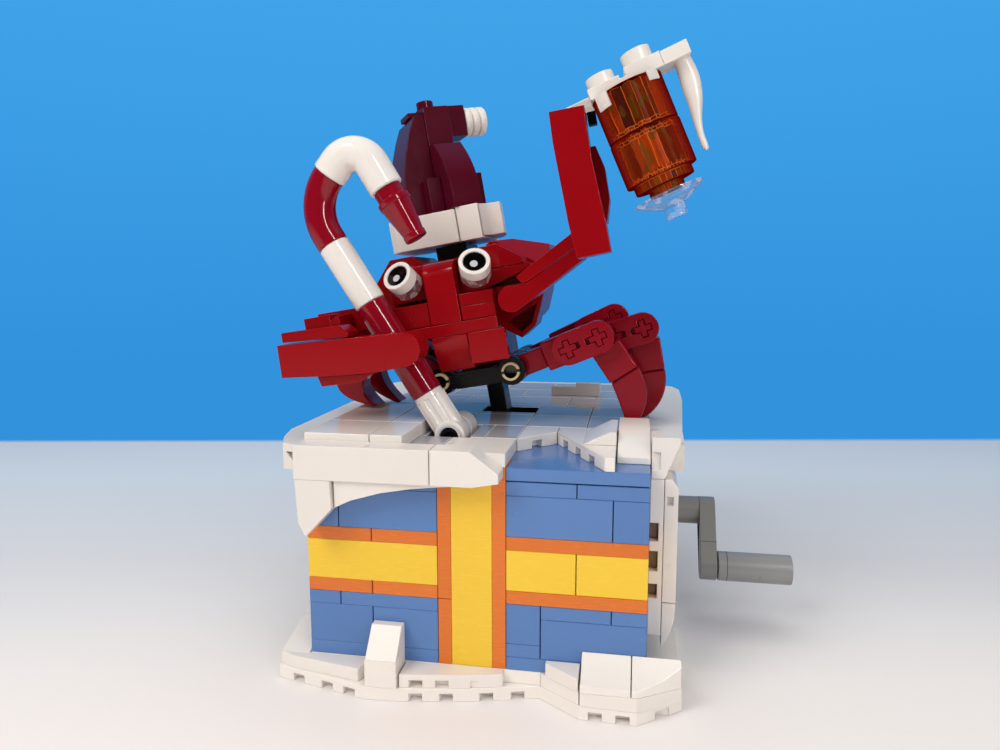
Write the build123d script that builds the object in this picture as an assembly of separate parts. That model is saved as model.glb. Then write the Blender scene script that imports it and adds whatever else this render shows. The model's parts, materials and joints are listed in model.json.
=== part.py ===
# Hand-cranked brick-built automaton: a crab in a winter hat that sways on a stem
# through the snowy lid of a gift box when the side crank is turned.
# Axes: X to the right seen from the front, Y away from the viewer, Z up.
# Origin: middle of the flat underside. All lengths in mm.
from build123d import *
from math import sin, cos, radians, atan2, degrees, hypot
import os

os.makedirs("parts", exist_ok=True)

# ---- driving dimensions ----
pitch = 8.0          # stud pitch
plate = 3.2          # plate height
brick = 3 * plate    # brick height
seam = 0.1           # side clearance of every brick
stud_r = 2.4
stud_h = 1.7
half_w = 5 * pitch   # half width of the box
half_d = 7 * pitch   # half depth of the box
wall = pitch
floor_z = 2 * plate  # walls stand here
wall_top = floor_z + 15 * plate
deck_top = wall_top + plate
rib_z = [floor_z + 5 * plate, floor_z + 6 * plate, floor_z + 9 * plate, floor_z + 10 * plate]
rib_half = pitch     # half width of the upright ribbon
rib_rail = plate     # width of one upright rail
slot_x = 8.0
slot_y = 4.4
run = 0.05           # running clearance on radius
gap = 0.35           # distance between bodies that pass each other

axle_z = 29.6        # crank and cross shaft height
axle_r = 2.4
pivot_z = 42.0       # sway pivot height
tilt = 10.0          # stem lean at rest, top towards -X
sway_throw = 2.15    # eccentric radius
crab_x = -4.0        # crab middle from the stem, half a stud

shoulder_x = 18.0
shoulder_z = 47.6
shoulder_r = 3.3
elbow_x = 16.4        # shoulder of the lowered arm, from the middle
elbow_z = 49.3
hat_turn = 35.0       # the hat stands turned on the neck
hip_x = 9.6          # hips either side of the stem
hip_z = 29.2
hip_r = 3.8
pin_r = 2.4
tube_r = 3.9         # leg tubes
lever_y = (-23.0, -20.2)
cane_y = -35.65
cane_r = 4.0
cane_foot = (-9.0, 57.4)
cane_dir = 122.8     # cane direction from +X at rest
grip_r = 4.0
grip_bore = 2.0
arm_throw = 16.0
arm_turn = 38.0      # crank arm, from straight down towards the viewer


# ---- shape helpers ----
def block(x0, x1, y0, y1, z0, z1):
    return Pos((x0 + x1) / 2, (y0 + y1) / 2, (z0 + z1) / 2) * Box(x1 - x0, y1 - y0, z1 - z0)


def outline(points):
    return make_face(Polyline(*points, close=True))


def prism_y(points, y0, y1):
    place = Plane(origin=(0, y1, 0), x_dir=(1, 0, 0), z_dir=(0, -1, 0))
    return extrude(place * outline(points), y1 - y0)


def prism_x(points, x0, x1):
    place = Plane(origin=(x0, 0, 0), x_dir=(0, 1, 0), z_dir=(1, 0, 0))
    return extrude(place * outline(points), x1 - x0)


def prism_z(points, z0, z1):
    return extrude(Plane(origin=(0, 0, z0)) * outline(points), z1 - z0)


def rod_x(y, z, x0, x1, r):
    return Pos((x0 + x1) / 2, y, z) * Rot(0, 90, 0) * Cylinder(r, x1 - x0)


def rod_y(x, z, y0, y1, r):
    return Pos(x, (y0 + y1) / 2, z) * Rot(90, 0, 0) * Cylinder(r, y1 - y0)


def rod_z(x, y, z0, z1, r):
    return Pos(x, y, (z0 + z1) / 2) * Cylinder(r, z1 - z0)


def brick_x(x0, x1, y0, y1, z0, z1):
    # a brick in a wall that runs along X: side clearance at its two ends
    return block(x0 + seam, x1 - seam, y0, y1, z0, z1)


def brick_y(x0, x1, y0, y1, z0, z1):
    return block(x0, x1, y0 + seam, y1 - seam, z0, z1)


def arc_points(cx, cz, r, a0, a1, n):
    return [(cx + r * cos(radians(a0 + (a1 - a0) * i / n)), cz + r * sin(radians(a0 + (a1 - a0) * i / n)))
            for i in range(n + 1)]


def mirror_x(shape):
    return mirror(shape, Plane.YZ)


def save(name, *shapes):
    solids = []
    for shape in shapes:
        solids += list(shape.solids())
    out = solids[0] if len(solids) == 1 else Compound(children=solids)
    export_step(out, "parts/" + name + ".step")


def leaning(*shapes):
    # from crab coordinates (middle of the crab at x = 0, height above the pivot) to the leaning rest pose
    move = Pos(0, 0, pivot_z) * Rot(0, -tilt, 0)
    return [move * s for s in shapes]


def on_crab(*shapes):
    return leaning(*[Pos(crab_x, 0, 0) * s for s in shapes])


# ---- ground snow: one notched plate layer with a wavy front edge ----
notch = 3.0
ground = prism_z([(-47.7, -57.6), (-24, -63.5), (-16, -63), (0, -60.3), (16, -56.1), (25.4, -62.8), (38, -63.2),
                  (48, -55.6), (48, 58), (-47.7, 58)], 0, plate)
for nx, ny in [(-42, -59), (-34, -61), (-28, -62.5), (-12, -62.4), (-5, -61), (4, -59), (11, -57.5),
               (29, -63), (35, -63), (43.5, -60)]:
    ground = ground - block(nx - notch / 2, nx + notch / 2, ny - 3.0, ny + 2.2, -0.1, 1.9)
for side in (-1, 1):
    for ny in (-44, -28, -12, 4, 20, 36, 52):
        edge = side * 48
        ground = ground - block(edge - 2.2, edge + 2.2, ny - notch / 2, ny + notch / 2, -0.1, 1.9)
save("base_snow", ground)

# ---- box floor ----
save("box_floor", block(-half_w, half_w, -half_d, half_d, plate, floor_z))

# ---- drifts lying on the ground layer, in front of and beside the floor ----
front = -half_d - seam
left_layer = prism_z([(-47.6, -56.5), (-44, -58.3), (-26, -61.8), (-24.2, front), (-40.1, front), (-40.1, -40),
                      (-47.6, -40)], plate, floor_z)
left_slope = prism_x([(-57, floor_z), (-40.2, floor_z), (-40.2, floor_z + 4.4), (-41, floor_z + 4.4)],
                     -47.4, -40.2)
centre_block = block(-23.8, -16.2, -63.4, front, plate, floor_z + plate)
cheese = prism_x([(-63.4, floor_z + plate), (front, floor_z + plate), (front, floor_z + 3 * plate),
                  (-58.2, floor_z + 3 * plate)], -23.6, -16.2)
centre_layer = prism_z([(-15.8, -62.6), (0, -60.2), (7.6, -58.2), (7.6, front), (-15.8, front)], plate, floor_z)
for nx in (-12, -6, 2):
    centre_layer = centre_layer - block(nx - 1.5, nx + 1.5, -64, -59.5, plate - 0.1, plate + 1.8)
right_layer = prism_z([(16.2, -56.3), (25.4, -62.6), (25.4, front), (16.2, front)], plate, floor_z)
right_low = prism_z([(17.4, -57.6), (25.2, -63.2), (25.2, front), (17.4, front)], floor_z, floor_z + plate)
right_body = prism_z([(25.6, -63), (38, -63.4), (47.8, -57), (47.8, front), (25.6, front)], plate, floor_z)
curve = [(-63.2, floor_z), (-63.2, floor_z + 1.6)]
curve += [(-63.2 + 7.0 * sin(radians(t)), floor_z + 1.6 + 4.6 * sin(radians(t)) ** 2) for t in (30, 55, 75, 90)]
curve += [(front, floor_z)]
right_curve_a = prism_x(curve, 25.6, 36.6) & prism_z([(25.6, -64), (36.6, -64), (36.6, -56), (25.6, -56)], 0, 20)
right_curve_b = prism_x(curve, 36.8, 47.6) & prism_z([(36.8, -63.3), (38, -63.3), (47.6, -57.2), (47.6, -56),
                                                      (36.8, -56)], 0, 20)
right_end = prism_z([(40.2, -55.8), (47.8, -55.8), (47.8, -30), (40.2, -30)], plate, floor_z)
save("base_drifts", left_layer, left_slope, centre_block, cheese, centre_layer, right_layer, right_low,
     right_body, right_curve_a, right_curve_b, right_end)

# ---- walls ----
z_low = [floor_z, floor_z + plate, floor_z + 4 * plate, floor_z + 5 * plate]
z_high = [floor_z + 10 * plate, floor_z + 13 * plate, floor_z + 14 * plate, wall_top]


def wall_rows(y0, y1, rows):
    return [brick_x(xa, xb, y0, y1, za, zb) for za, zb, cuts in rows for xa, xb in zip(cuts, cuts[1:])]


front_rows = [
    (z_low[0], z_low[1], (-40, -8)),
    (z_low[1], z_low[2], (-40, -24, -8)),
    (z_low[2], z_low[3], (-40, -32, -8)),
    (z_high[0], z_high[1], (-40, -32, -8)),
    (z_high[1], wall_top, (-40, -24, -8)),
    (z_low[0], z_low[1], (8, 40)),
    (z_low[1], z_low[1] + plate, (8, 16)),
    (z_low[1] + plate, z_low[3], (8, 16)),
    (z_low[1], z_low[2], (16, 40)),
    (z_low[2], z_low[3], (16, 32, 40)),
    (z_high[0], z_high[1], (8, 32, 40)),
    (z_high[1], z_high[2], (8, 24, 40)),
    (z_high[2] + 0.25, wall_top, (8, 40)),
]
save("wall_front", *wall_rows(-half_d, -half_d + wall, front_rows))
back_rows = [
    (z_low[0], z_low[2], (-40, -24, -8)),
    (z_low[2], z_low[3], (-40, -16, -8)),
    (z_high[0], z_high[1], (-40, -32, -8)),
    (z_high[1], wall_top, (-40, -24, -8)),
    (z_low[0], z_low[2], (8, 24, 40)),
    (z_low[2], z_low[3], (8, 16, 40)),
    (z_high[0], z_high[1], (8, 32, 40)),
    (z_high[1], wall_top, (8, 24, 40)),
]
save("wall_back", *wall_rows(half_d - wall, half_d, back_rows))
side_rows = [
    (z_low[0], z_low[2], (-48, -16, 16, 48)),
    (z_low[2], z_low[3], (-48, 0, 48)),
    (z_high[0], z_high[1], (-48, -16, 16, 48)),
    (z_high[1], wall_top, (-48, 0, 48)),
]
left_wall = [brick_y(-half_w, -half_w + wall, ya, yb, za, zb)
             for za, zb, cuts in side_rows for ya, yb in zip(cuts, cuts[1:])]
save("wall_left", *left_wall)
save("wall_right", *[mirror_x(b) for b in left_wall])

# ---- ribbons ----
rails = []
band = []
for y0, y1 in ((-half_d, -half_d + wall), (half_d - wall, half_d)):
    for side in (-1, 1):
        xa, xb = sorted((side * rib_half, side * half_w))
        cut = side * 3 * pitch
        for za, zb in ((rib_z[0], rib_z[1]), (rib_z[2], rib_z[3])):
            if side < 0:
                rails += [brick_x(xa, cut, y0, y1, za, zb), brick_x(cut, xb, y0, y1, za, zb)]
            else:
                rails.append(brick_x(xa, xb, y0, y1, za, zb))
        if side > 0:
            band += [brick_x(xa, cut, y0, y1, rib_z[1], rib_z[2]), brick_x(cut, xb, y0, y1, rib_z[1], rib_z[2])]
        else:
            band.append(brick_x(xa, xb, y0, y1, rib_z[1], rib_z[2]))
        ra, rb = sorted((side * rib_half, side * (rib_half - rib_rail)))
        split = rib_z[0] if side < 0 else wall_top
        rails.append(block(ra, rb, y0, y1, floor_z, split))
        if split < wall_top:
            rails.append(block(ra, rb, y0, y1, split + seam, wall_top))
    band.append(block(-rib_half + rib_rail, rib_half - rib_rail, y0, y1, floor_z, wall_top))
for side in (-1, 1):
    xa, xb = sorted((side * half_w, side * (half_w - wall)))
    for ya, yb in ((-48, 0), (0, 48)):
        for za, zb in ((rib_z[0], rib_z[1]), (rib_z[2], rib_z[3])):
            rails.append(brick_y(xa, xb, ya, yb, za, zb))
    for ya, yb in ((-48, -16), (-16, 16), (16, 48)):
        band.append(brick_y(xa, xb, ya, yb, rib_z[1], rib_z[2]))
bearing = rod_x(0, axle_z, half_w - wall - 1, half_w + 1, axle_r + run)
band = [b - bearing if b.bounding_box().max.X > half_w - 1 and abs(b.center().Y) < 4 else b for b in band]
save("ribbon_rails", *rails)
save("ribbon_band", *band)

# ---- deck ----
inner_x = half_w - wall
inner_y = half_d - wall
foot_x, foot_z = cane_foot
slot_cut = block(-slot_x, slot_x, -slot_y, slot_y, 40, 80)
bay_cut = block(rib_half, half_w + 1, -half_d - 1, -24, wall_top, 80)
foot_cut = block(foot_x - 5.8, foot_x + 5.3, -40.7, -24.1, wall_top, 80)
eye_cut = block(foot_x - 4.3, foot_x + 4.3, -40.6, -31, foot_z - 4.3, 80)
save("deck_plate", block(-inner_x, inner_x, -inner_y, inner_y, wall_top - plate, wall_top) - slot_cut - eye_cut)
tiles = []
row_cuts = [(-40, -24, -8, 8, 40), (-40, -16, 0, 16, 40), (-40, -32, -8, 8, 24, 40), (-40, -24, -8, 8, 24, 40),
            (-40, -16, 16, 40), (-40, -24, 0, 24, 40), (-40, -8, 8, 40)]
for i, cuts in enumerate(row_cuts):
    y0 = -half_d + 16 * i
    for xa, xb in zip(cuts, cuts[1:]):
        tile = block(xa + seam, xb - seam, y0 + seam, y0 + 16 - seam, wall_top, deck_top)
        tile = tile - slot_cut - foot_cut - bay_cut
        tiles += [s for s in tile.solids() if s.volume > 20]
save("deck_tiles", *tiles)

# ---- snow rim round the deck ----
rim_low = wall_top - plate
left_rim = prism_z([(-40.1, -55.9), (-46.3, -54), (-49.4, -47), (-51.8, -38), (-52.2, 48), (-46, 57), (-40.1, 57.6)],
                   rim_low, deck_top)
left_rim = left_rim - prism_y([(-45.4, 55.6), (-43.1, 55.6), (-43.1, 53.2)], -60, -50)
right_rim = prism_z([(40.1, -39.9), (48.0, -39.9), (48.4, -23), (49.6, 0), (51.2, 27), (51.4, 48), (49.4, 55),
                     (45, 57.6), (40.1, 57.6)], rim_low, deck_top)
back_rim = block(-39.9, 39.9, half_d + seam, 59, rim_low, deck_top)
rim_block = prism_y([(40.2, rim_low), (43.2, rim_low), (46.6, 59.4), (46.6, 60.8), (40.2, 60.8)], -48, -40.1)
rim_block = rim_block - block(40.1, 42.2, -49, -47.2, 53.4, 57.4)
save("snow_rim", left_rim, right_rim, back_rim, rim_block)

# ---- lip hanging over the front, left of the ribbon ----
lip_y = -62.4
lip_bottom = 51.2
lip_top = 59.2
lip = block(-39.9, -8 - seam, lip_y, front, lip_bottom, lip_top)
lip_end = prism_y([(-8 + seam, lip_bottom), (1.5, lip_bottom), (7.5, 52.3), (7.5, 54.4), (1.0, lip_top),
                   (-8 + seam, lip_top)], lip_y, front)
save("snow_lip", lip, lip_end)

# ---- icicles: a hanging wedge at the left end and a long tapering wedge beside it ----
icicle = prism_y([(-39.8, lip_bottom), (-31.3, lip_bottom), (-31.0, 44.6), (-37.0, 38.2), (-37.7, 37.9),
                  (-39.2, 41.0)], lip_y + 0.1, -57.0)
sweep_edge = [(-30.8, 44.6), (-26.8, 46.5), (-19.7, 48.6), (-12.6, 49.9), (-5.5, 50.7), (1.0, 51.1)]
wedge = prism_y([(-30.8, lip_bottom)] + sweep_edge + [(1.0, lip_bottom)], lip_y + 1.2, -57.0)
save("snow_icicles", icicle, wedge)

# ---- loose snow on the deck: strip under the front left leg, notched wedges, curved slope ----
strips = [block(xa + seam, xb - seam, ya + seam, yb - seam, deck_top, deck_top + plate)
          for xa, xb in ((-40, -24), (-24, -16)) for ya, yb in ((-56, -40), (-40, -14))]
lid_tile = block(-8 + seam, 8 - seam, -half_d + seam, -40 - seam, deck_top, deck_top + 0.8)


def edge_notch(x, y, turn):
    return Pos(x, y, wall_top + 0.9) * Rot(0, 0, turn) * Box(3.2, 4.4, 2.0)


wedge_l = prism_z([(8.1, -24.2), (8.1, -40.2), (16.9, -30.4), (16.9, -24.2)], wall_top, deck_top)
wedge_l = wedge_l - edge_notch(12.5, -35.3, 48)
wedge_r = prism_z([(17.1, -24.2), (17.1, -30.4), (30, -55.8), (32.2, -55.8), (32.2, -24.2)], wall_top, deck_top)
for step in (0.18, 0.46, 0.74):
    wedge_r = wedge_r - edge_notch(17.1 + 12.9 * step, -30.4 - 25.4 * step, -63)
curve_top = [(-47.9, 56.0), (-44.7, 57.8), (-41.5, 59.2), (-38.3, 60.1), (-35.1, 60.6), (-32, 60.8), (-24.6, 60.8)]
curved = prism_x([(-47.9, wall_top)] + curve_top + [(-24.6, wall_top)], 32.5, 40)
small_slope = prism_y([(24.2, deck_top), (32.2, deck_top), (32.2, 60.8), (30.6, 60.8)], -44, -28)
back_slope = prism_x([(28, deck_top), (36, deck_top), (36, 58.4), (34, 60.6), (31.5, 61.8), (28, 62.0)], 17.1, 25)
back_slope += prism_x([(28, deck_top), (36, deck_top), (36, 58.4), (28, 60.8)], 9, 17.2)
save("snow_top", *strips, wedge_l, wedge_r, curved, small_slope, back_slope)

# ---- snow panels on the two sides: an inner layer with notches and an outer layer ----
layer_1 = (half_w + seam, half_w + plate)
layer_2 = (half_w + plate + seam, half_w + 2 * plate)
notch_rows = [(22.8, 26.2), (29.3, 34.1), (36.5, 40.8)]
panel_top = rim_low - 0.05
axle_hole = rod_x(0, axle_z, half_w - 1, half_w + 9, 3.3)
inner_cols = [(-48, -32, 13.8, 10.0), (-32, -16, 27, 21), (-16, 0, 22, 18), (0, 16, 19, 22), (16, 32, 30, 25),
              (32, 47.9, 16, 12)]


def column(x0, x1, ya, yb, low_a, low_b):
    return prism_x([(ya + seam, low_a), (yb - seam, low_b), (yb - seam, panel_top), (ya + seam, panel_top)], x0, x1)


right_panels = []
core = []
for ya, yb, low_a, low_b in inner_cols:
    col = column(layer_1[0], layer_1[1], ya, yb, low_a, low_b)
    if ya < -40:
        for za, zb in notch_rows:
            col = col - block(layer_1[0] - 1, layer_1[0] + 2.0, -49, -41.9, za, zb)
            core.append(block(layer_1[0], layer_1[0] + 1.9, -46, -42, za + 0.1, zb - 0.1))
    right_panels.append(col - axle_hole)
drip = [(46.4, 21.8), (46.2, 18), (45.4, 14.5), (43.3, 10.6)]
front_low = prism_y([(layer_2[0], 21.7), (46.4, 21.7), (46.2, 18), (45.4, 14.5), (43.3, 10.8)], -47.9, -32.1)
front_high = prism_y([(layer_2[0], 21.9), (46.4, 21.9), (46.4, 49.2), (45.0, panel_top), (layer_2[0], panel_top)],
                     -47.9, -32.1) - block(43.9, 45.3, -49, -46.4, 45.1, 47.1)
right_panels += [front_low, front_high]
outer_cols = [(-32, -16, 34, 31), (-16, 16, 23, 23), (16, 32, 37, 34), (32, 47.9, 28, 24)]
for ya, yb, low_a, low_b in outer_cols:
    right_panels.append(column(layer_2[0], layer_2[1], ya, yb, low_a, low_b) - axle_hole)
save("snow_side_right", *right_panels)

left_panels = []
left_inner = prism_y([(-40.1, panel_top), (-43.2, panel_top), (-43.2, 37.8), (-42.6, 35), (-41.2, 31.5),
                      (-40.1, 28.4)], -47.9, -32.1)
left_outer = prism_y([(-43.3, panel_top), (-46.4, panel_top), (-46.4, 43.4), (-43.3, 38.6)], -47.9, -32.1)
left_outer = left_outer - prism_y([(-45.2, 43.0), (-43.2, 43.0), (-43.2, 40.4)], -49, -45.5)
left_panels = [left_inner, left_outer]
for ya, yb, low_a, low_b in [(-32, -16, 31, 26), (-16, 0, 36, 33), (0, 16, 30, 34), (16, 32, 38, 28), (32, 47.9, 22, 26)]:
    left_panels.append(column(-layer_1[1], -layer_1[0], ya, yb, low_a, low_b))
for ya, yb, low_a, low_b in [(-32, 0, 40, 37), (0, 32, 43, 40), (32, 47.9, 36, 38)]:
    left_panels.append(column(-layer_2[1], -layer_2[0], ya, yb, low_a, low_b))
save("snow_side_left", *left_panels)
save("side_core", *core)

# ---- bearing frame inside the box, with the sway pivot pin ----
frame = block(-12, 21, -31, 18.4, floor_z, floor_z + plate)
frame += block(-5, 5, -31, -25.4, 9, pivot_z + 4.4)
frame += block(-5, 5, -12.4, -8.2, 9, axle_z + 4)
frame += block(-5, 5, 12.2, 18.2, 9, pivot_z + 4.4)
frame += block(13, 19, -5, 5, 9, axle_z + 4)
frame = frame - rod_y(0, pivot_z, -40, 40, pin_r)
frame = frame - rod_y(0, axle_z, -20, 40, axle_r + run) - rod_x(0, axle_z, 8, 30, axle_r + run)
save("frame", frame)
save("sway_pin", rod_y(0, pivot_z, -31.2, 18.4, pin_r))

# ---- cane foot on the deck ----
lug_y = (-31.2, -24.4)
lug = block(foot_x - 3.9, foot_x + 3.9, lug_y[0], lug_y[1], wall_top, foot_z)
lug += rod_y(foot_x, foot_z, lug_y[0], lug_y[1], 3.9)
lug = lug & block(-30, 10, -40, -20, wall_top, 70)
lug = lug - rod_y(foot_x, foot_z, -50, 0, pin_r)
save("cane_foot", lug)
save("cane_foot_pin", rod_y(foot_x, foot_z, -40.0, lug_y[1], pin_r) + rod_y(foot_x, foot_z, -40.6, -40.0, 3.0))


# ---- bevel gears: 45 degree cones with trapezoid teeth, apex where the two shafts cross ----
teeth = 12
gear_in = 4.4
gear_out = 6.4
tip_ratio = 1.11
root_ratio = 0.84


def gear_profile(phase):
    points = []
    for i in range(teeth):
        middle = phase + i * 360 / teeth
        for off, ratio in ((-9.5, root_ratio), (-3.6, tip_ratio), (3.6, tip_ratio), (9.5, root_ratio)):
            a = radians(middle + off)
            points.append((ratio * cos(a), ratio * sin(a)))
    return points


def bevel_gear(phase):
    # axis along +Z here, apex at the origin
    profile = gear_profile(phase)
    faces = [Plane(origin=(0, 0, s)) * outline([(s * px, s * py) for px, py in profile]) for s in (gear_in, gear_out)]
    body = loft(faces, ruled=True)
    body += rod_z(0, 0, gear_out, gear_out + 4.4, 4.4)
    return body - rod_z(0, 0, 0, 20, axle_r)


centre = Pos(0, 0, axle_z)
save("crank_gear", centre * Rot(0, 90, 0) * bevel_gear(0))
save("cross_gear", centre * Rot(-90, 0, 0) * bevel_gear(15))

# ---- crank ----
grip_y = -arm_throw * sin(radians(arm_turn))
grip_z = axle_z - arm_throw * cos(radians(arm_turn))
arm_x = (55.0, 59.4)
grip_x = (59.8, 79.2)
save("crank_axle", rod_x(0, axle_z, gear_in, arm_x[1], axle_r))
arm_bar = Pos(0, 0, axle_z) * Rot(-arm_turn, 0, 0) * block(arm_x[0], arm_x[1], -4, 4, -arm_throw, 0)
arm = arm_bar + rod_x(0, axle_z, arm_x[0], arm_x[1], 4) + rod_x(grip_y, grip_z, arm_x[0], arm_x[1], 4)
arm += rod_x(0, axle_z, half_w + 2 * plate + gap, arm_x[0], 3.9)
arm = arm - rod_x(0, axle_z, 40, 70, axle_r) - rod_x(grip_y, grip_z, 50, 70, grip_bore)
save("crank_arm", arm)
save("crank_pin", rod_x(grip_y, grip_z, arm_x[0], grip_x[1] - 0.3, grip_bore))
grip = rod_x(grip_y, grip_z, grip_x[0], grip_x[1], grip_r) - rod_x(grip_y, grip_z, 50, 90, grip_bore + run)
save("crank_grip", grip)

# ---- cross shaft with the eccentric that sways the stem ----
save("cross_axle", rod_y(0, axle_z, -14.4, 18.6, axle_r))
cam = rod_y(0, axle_z, -17.4, -14.4, 5.2) + rod_y(sway_throw, axle_z, lever_y[1] + 0.4, -17.4, 1.6)
save("cam_disc", cam)

# ---- stem: tube on the sway pin, forked lever below it, square bar above it ----
stem = block(-2.4, 2.4, -4, 4, 2, 29.0)
stem += rod_y(0, 0, -25.0, 11.8, 4.0)
fork = block(-3.8, 3.8, lever_y[0], lever_y[1], -17.6, -1) - block(-1.85, 1.85, -30, -10, -19, -8.6)
stem += fork
stem = stem - rod_y(0, 0, -40, 40, pin_r + run)
save("sway_stem", *leaning(stem))

# ---- crab under-frame with hip pins ----
leg_front = (-24.0, -11.6, 0.8)      # front faces of the leg tubes
tube_y = 2 * tube_r
under = block(-5.3, 5.3, -26.4, 12, hip_z - 2.6, 31.2) - block(-2.4, 2.4, -4, 4, 20, 29.0)
for side in (-1, 1):
    for ya, yb in ((-26.4, -22.3), (-17.7, -9.9), (-5.3, 2.5), (7.1, 10.2)):
        ear = block(4, hip_x, ya, yb, hip_z - 2.4, hip_z + 1.8) + rod_y(hip_x, hip_z, ya, yb, 3.7)
        under += ear if side > 0 else mirror_x(ear)
    under = under - rod_y(side * hip_x, hip_z, -40, 40, pin_r)
save("crab_frame", *leaning(under))
save("hip_pins", *leaning(*[rod_y(side * hip_x, hip_z, -27.6, 10.6, pin_r) for side in (-1, 1)]))

# ---- crab body ----
belly = block(-5.2, 5.2, -19.0, 14, 31.25, 41) - block(-2.6, 2.6, -4.2, 4.2, 28, 30)
belly_back = prism_y([(-5.2, 31.25), (5.2, 31.25), (5.2, 41), (-5.2, 41)], 14.1, 17)
save("crab_belly", *leaning(belly, belly_back))

brow = [(-27 - 4.0 * cos(radians(a)), 56.2 + 4.0 * sin(radians(a))) for a in (0, 20, 40, 60, 80, 90)]
strip = prism_x([(-31, 44.3)] + brow + [(-18, 60.2), (-18, 44.3)], -4, 4)
cheek_r = block(4.2, 13.1, -30.4, -18, 47.95, 51.1)
cheek_r2 = block(4.2, 13.1, -30.4, -18, 44.3, 47.85)
cheek_l = block(-13.6, -4.2, -30.4, -18, 44.3, 50.4)
chin = block(-13, 13.1, -31, -28.5, 41.1, 44.2) + block(-8, 12, -28.6, -18, 41.1, 44.2)
front_low = prism_x([(-30.8, 41), (-30.8, 38.8), (-27.4, 31.7), (-26.5, 31.7), (-26.5, 33.4), (-19.1, 33.4),
                     (-19.1, 41)], -4.7, 4.7)
side_tile = block(4.9, 14.6, -31.2, -28.5, 33, 41)
save("crab_face", *on_crab(strip, cheek_r, cheek_r2, cheek_l, chin, front_low, side_tile))

rear_y = 19.0
shell_right = [(9.3, 41.1), (14.8, 41.1), (20.2, 41.1), (21.9, 42.6), (24.3, 48.3), (26.9, 58.4), (26.7, 60.9), (17.4, 63.8),
               (11.7, 63.9), (8, 61.2)]
shell_left = [(-8, 61.2), (-10.5, 63.9), (-17, 63.9), (-22, 58.2), (-25, 56.7), (-28, 54.4), (-28, 53.2),
              (-20.5, 49.8), (-15, 45.0), (-9.2, 41.1)]
shell_low = prism_y(shell_right + shell_left, -15, 9)
shoulder_cut = Plane(origin=(15.1, -15, 62.2), x_dir=(5.8, 0, -4.2), z_dir=(37.8, -40.6, 52.2))
shell_low = shell_low - shoulder_cut * Pos(0, 0, 15) * Box(80, 80, 30)
shell_low += prism_y([(10.8, 43.0), (10.9, 40.4), (16.1, 36.7), (20.4, 39.4), (24.3, 48.3), (20, 46)], -15, -3.5)
shell_low = shell_low - prism_y([(21.7, 45.4), (19.3, 40.2), (16.2, 38.3), (12.8, 41.6)], -16, -7)
rear = [(-9, 41.1), (9.3, 41.1), (14.8, 41.1), (19, 46), (21, 58), (14, 61), (-14, 61), (-21, 55), (-17, 48)]
shell_rear = prism_y(rear, 9.1, rear_y)
head_left = prism_y([(-4.2, 51.3), (-15, 51.3), (-15, 54.7), (-11.0, 60.2), (-4.2, 60.2)], -25.9, -15.1)
head_low = prism_y([(4.2, 51.3), (10.6, 51.3), (18.8, 53.5), (23.4, 55.0), (22.8, 56.1), (4.2, 56.1)], -25.6, -15.1)
head_top = prism_y([(4.2, 56.2), (21.6, 56.2), (20.9, 58.1), (15.1, 62.2), (10.5, 62.1), (9.0, 60.4), (4.2, 60.2)],
                   -25.6, -15.1)
block_r = block(13.2, 20.4, -25.6, -15.1, 45.0, 51.2)
block_l = block(-18.4, -13.7, -28.0, -15.1, 47.4, 51.2)
pin_right = rod_y(shoulder_x, shoulder_z, -30.4, -25.6, 1.8)
pin_left = rod_y(-elbow_x, elbow_z, -30.6, -28.0, 1.8)
save("crab_shell", *on_crab(shell_low, shell_rear, head_left, head_low, head_top, block_r + pin_right, block_l + pin_left))


# ---- eyes ----
eye_x = (-8.9, 9.4)


def eye(x, r, ya, yb, hole):
    shape = rod_y(0, 0, ya, yb, r)
    if hole:
        shape = shape - rod_y(0, 0, ya - 1, yb + 1, hole)
    return Pos(x, -29.0, 55.65) * Rot(-34, 0, 12 if x > 0 else -12) * shape


save("eye_sockets", *on_crab(*[eye(x, 4.0, -1.9, 0.9, 0) for x in eye_x]))
save("eye_rings", *on_crab(*[eye(x, 4.0, -5.2, -2.0, 2.8) for x in eye_x]))
save("eye_pupils", *on_crab(*[eye(x, 2.8, -4.8, -2.0, 0) for x in eye_x]))

# ---- hat ----
hat_y = -2.0
brim_low = 65.5
brim_top = 74.9
neck = block(-4.7, 4.1, hat_y - 8, hat_y + 8, 61.25, brim_low - gap)
neck += rod_z(0, hat_y, brim_low - 1, brim_low + 3, 2.4)
save("hat_neck", *on_crab(neck))
bore = rod_z(0, hat_y, brim_low - 1, brim_low + 3.4, 2.4 + run)
brim_a = prism_z([(-16.6, -11), (-14.4, -14), (3.3, -14), (3.3, 10), (-13.4, 10), (-16.6, 7)], brim_low, brim_top - 0.5)
brim_b = block(3.5, 9.8, -13.0, 10, brim_low, brim_top)
brim_c = prism_z([(9.95, -12.2), (10.25, -10.4), (10.9, -8.9), (12.0, -7.8), (13.4, -7.2), (15.0, -7.0), (14.9, -3.0),
                  (14.0, 2.5), (12.2, 7.0), (9.95, 9.2)],
                 brim_low + 0.6, brim_top)
save("hat_brim", *on_crab(brim_a - bore, brim_b - bore, brim_c))


def on_hat(*shapes):
    # hat coordinates: first axis along the bobble arm, second towards the back, both from the neck
    return on_crab(*[Pos(0, hat_y, 0) * Rot(0, 0, hat_turn) * s for s in shapes])


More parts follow.
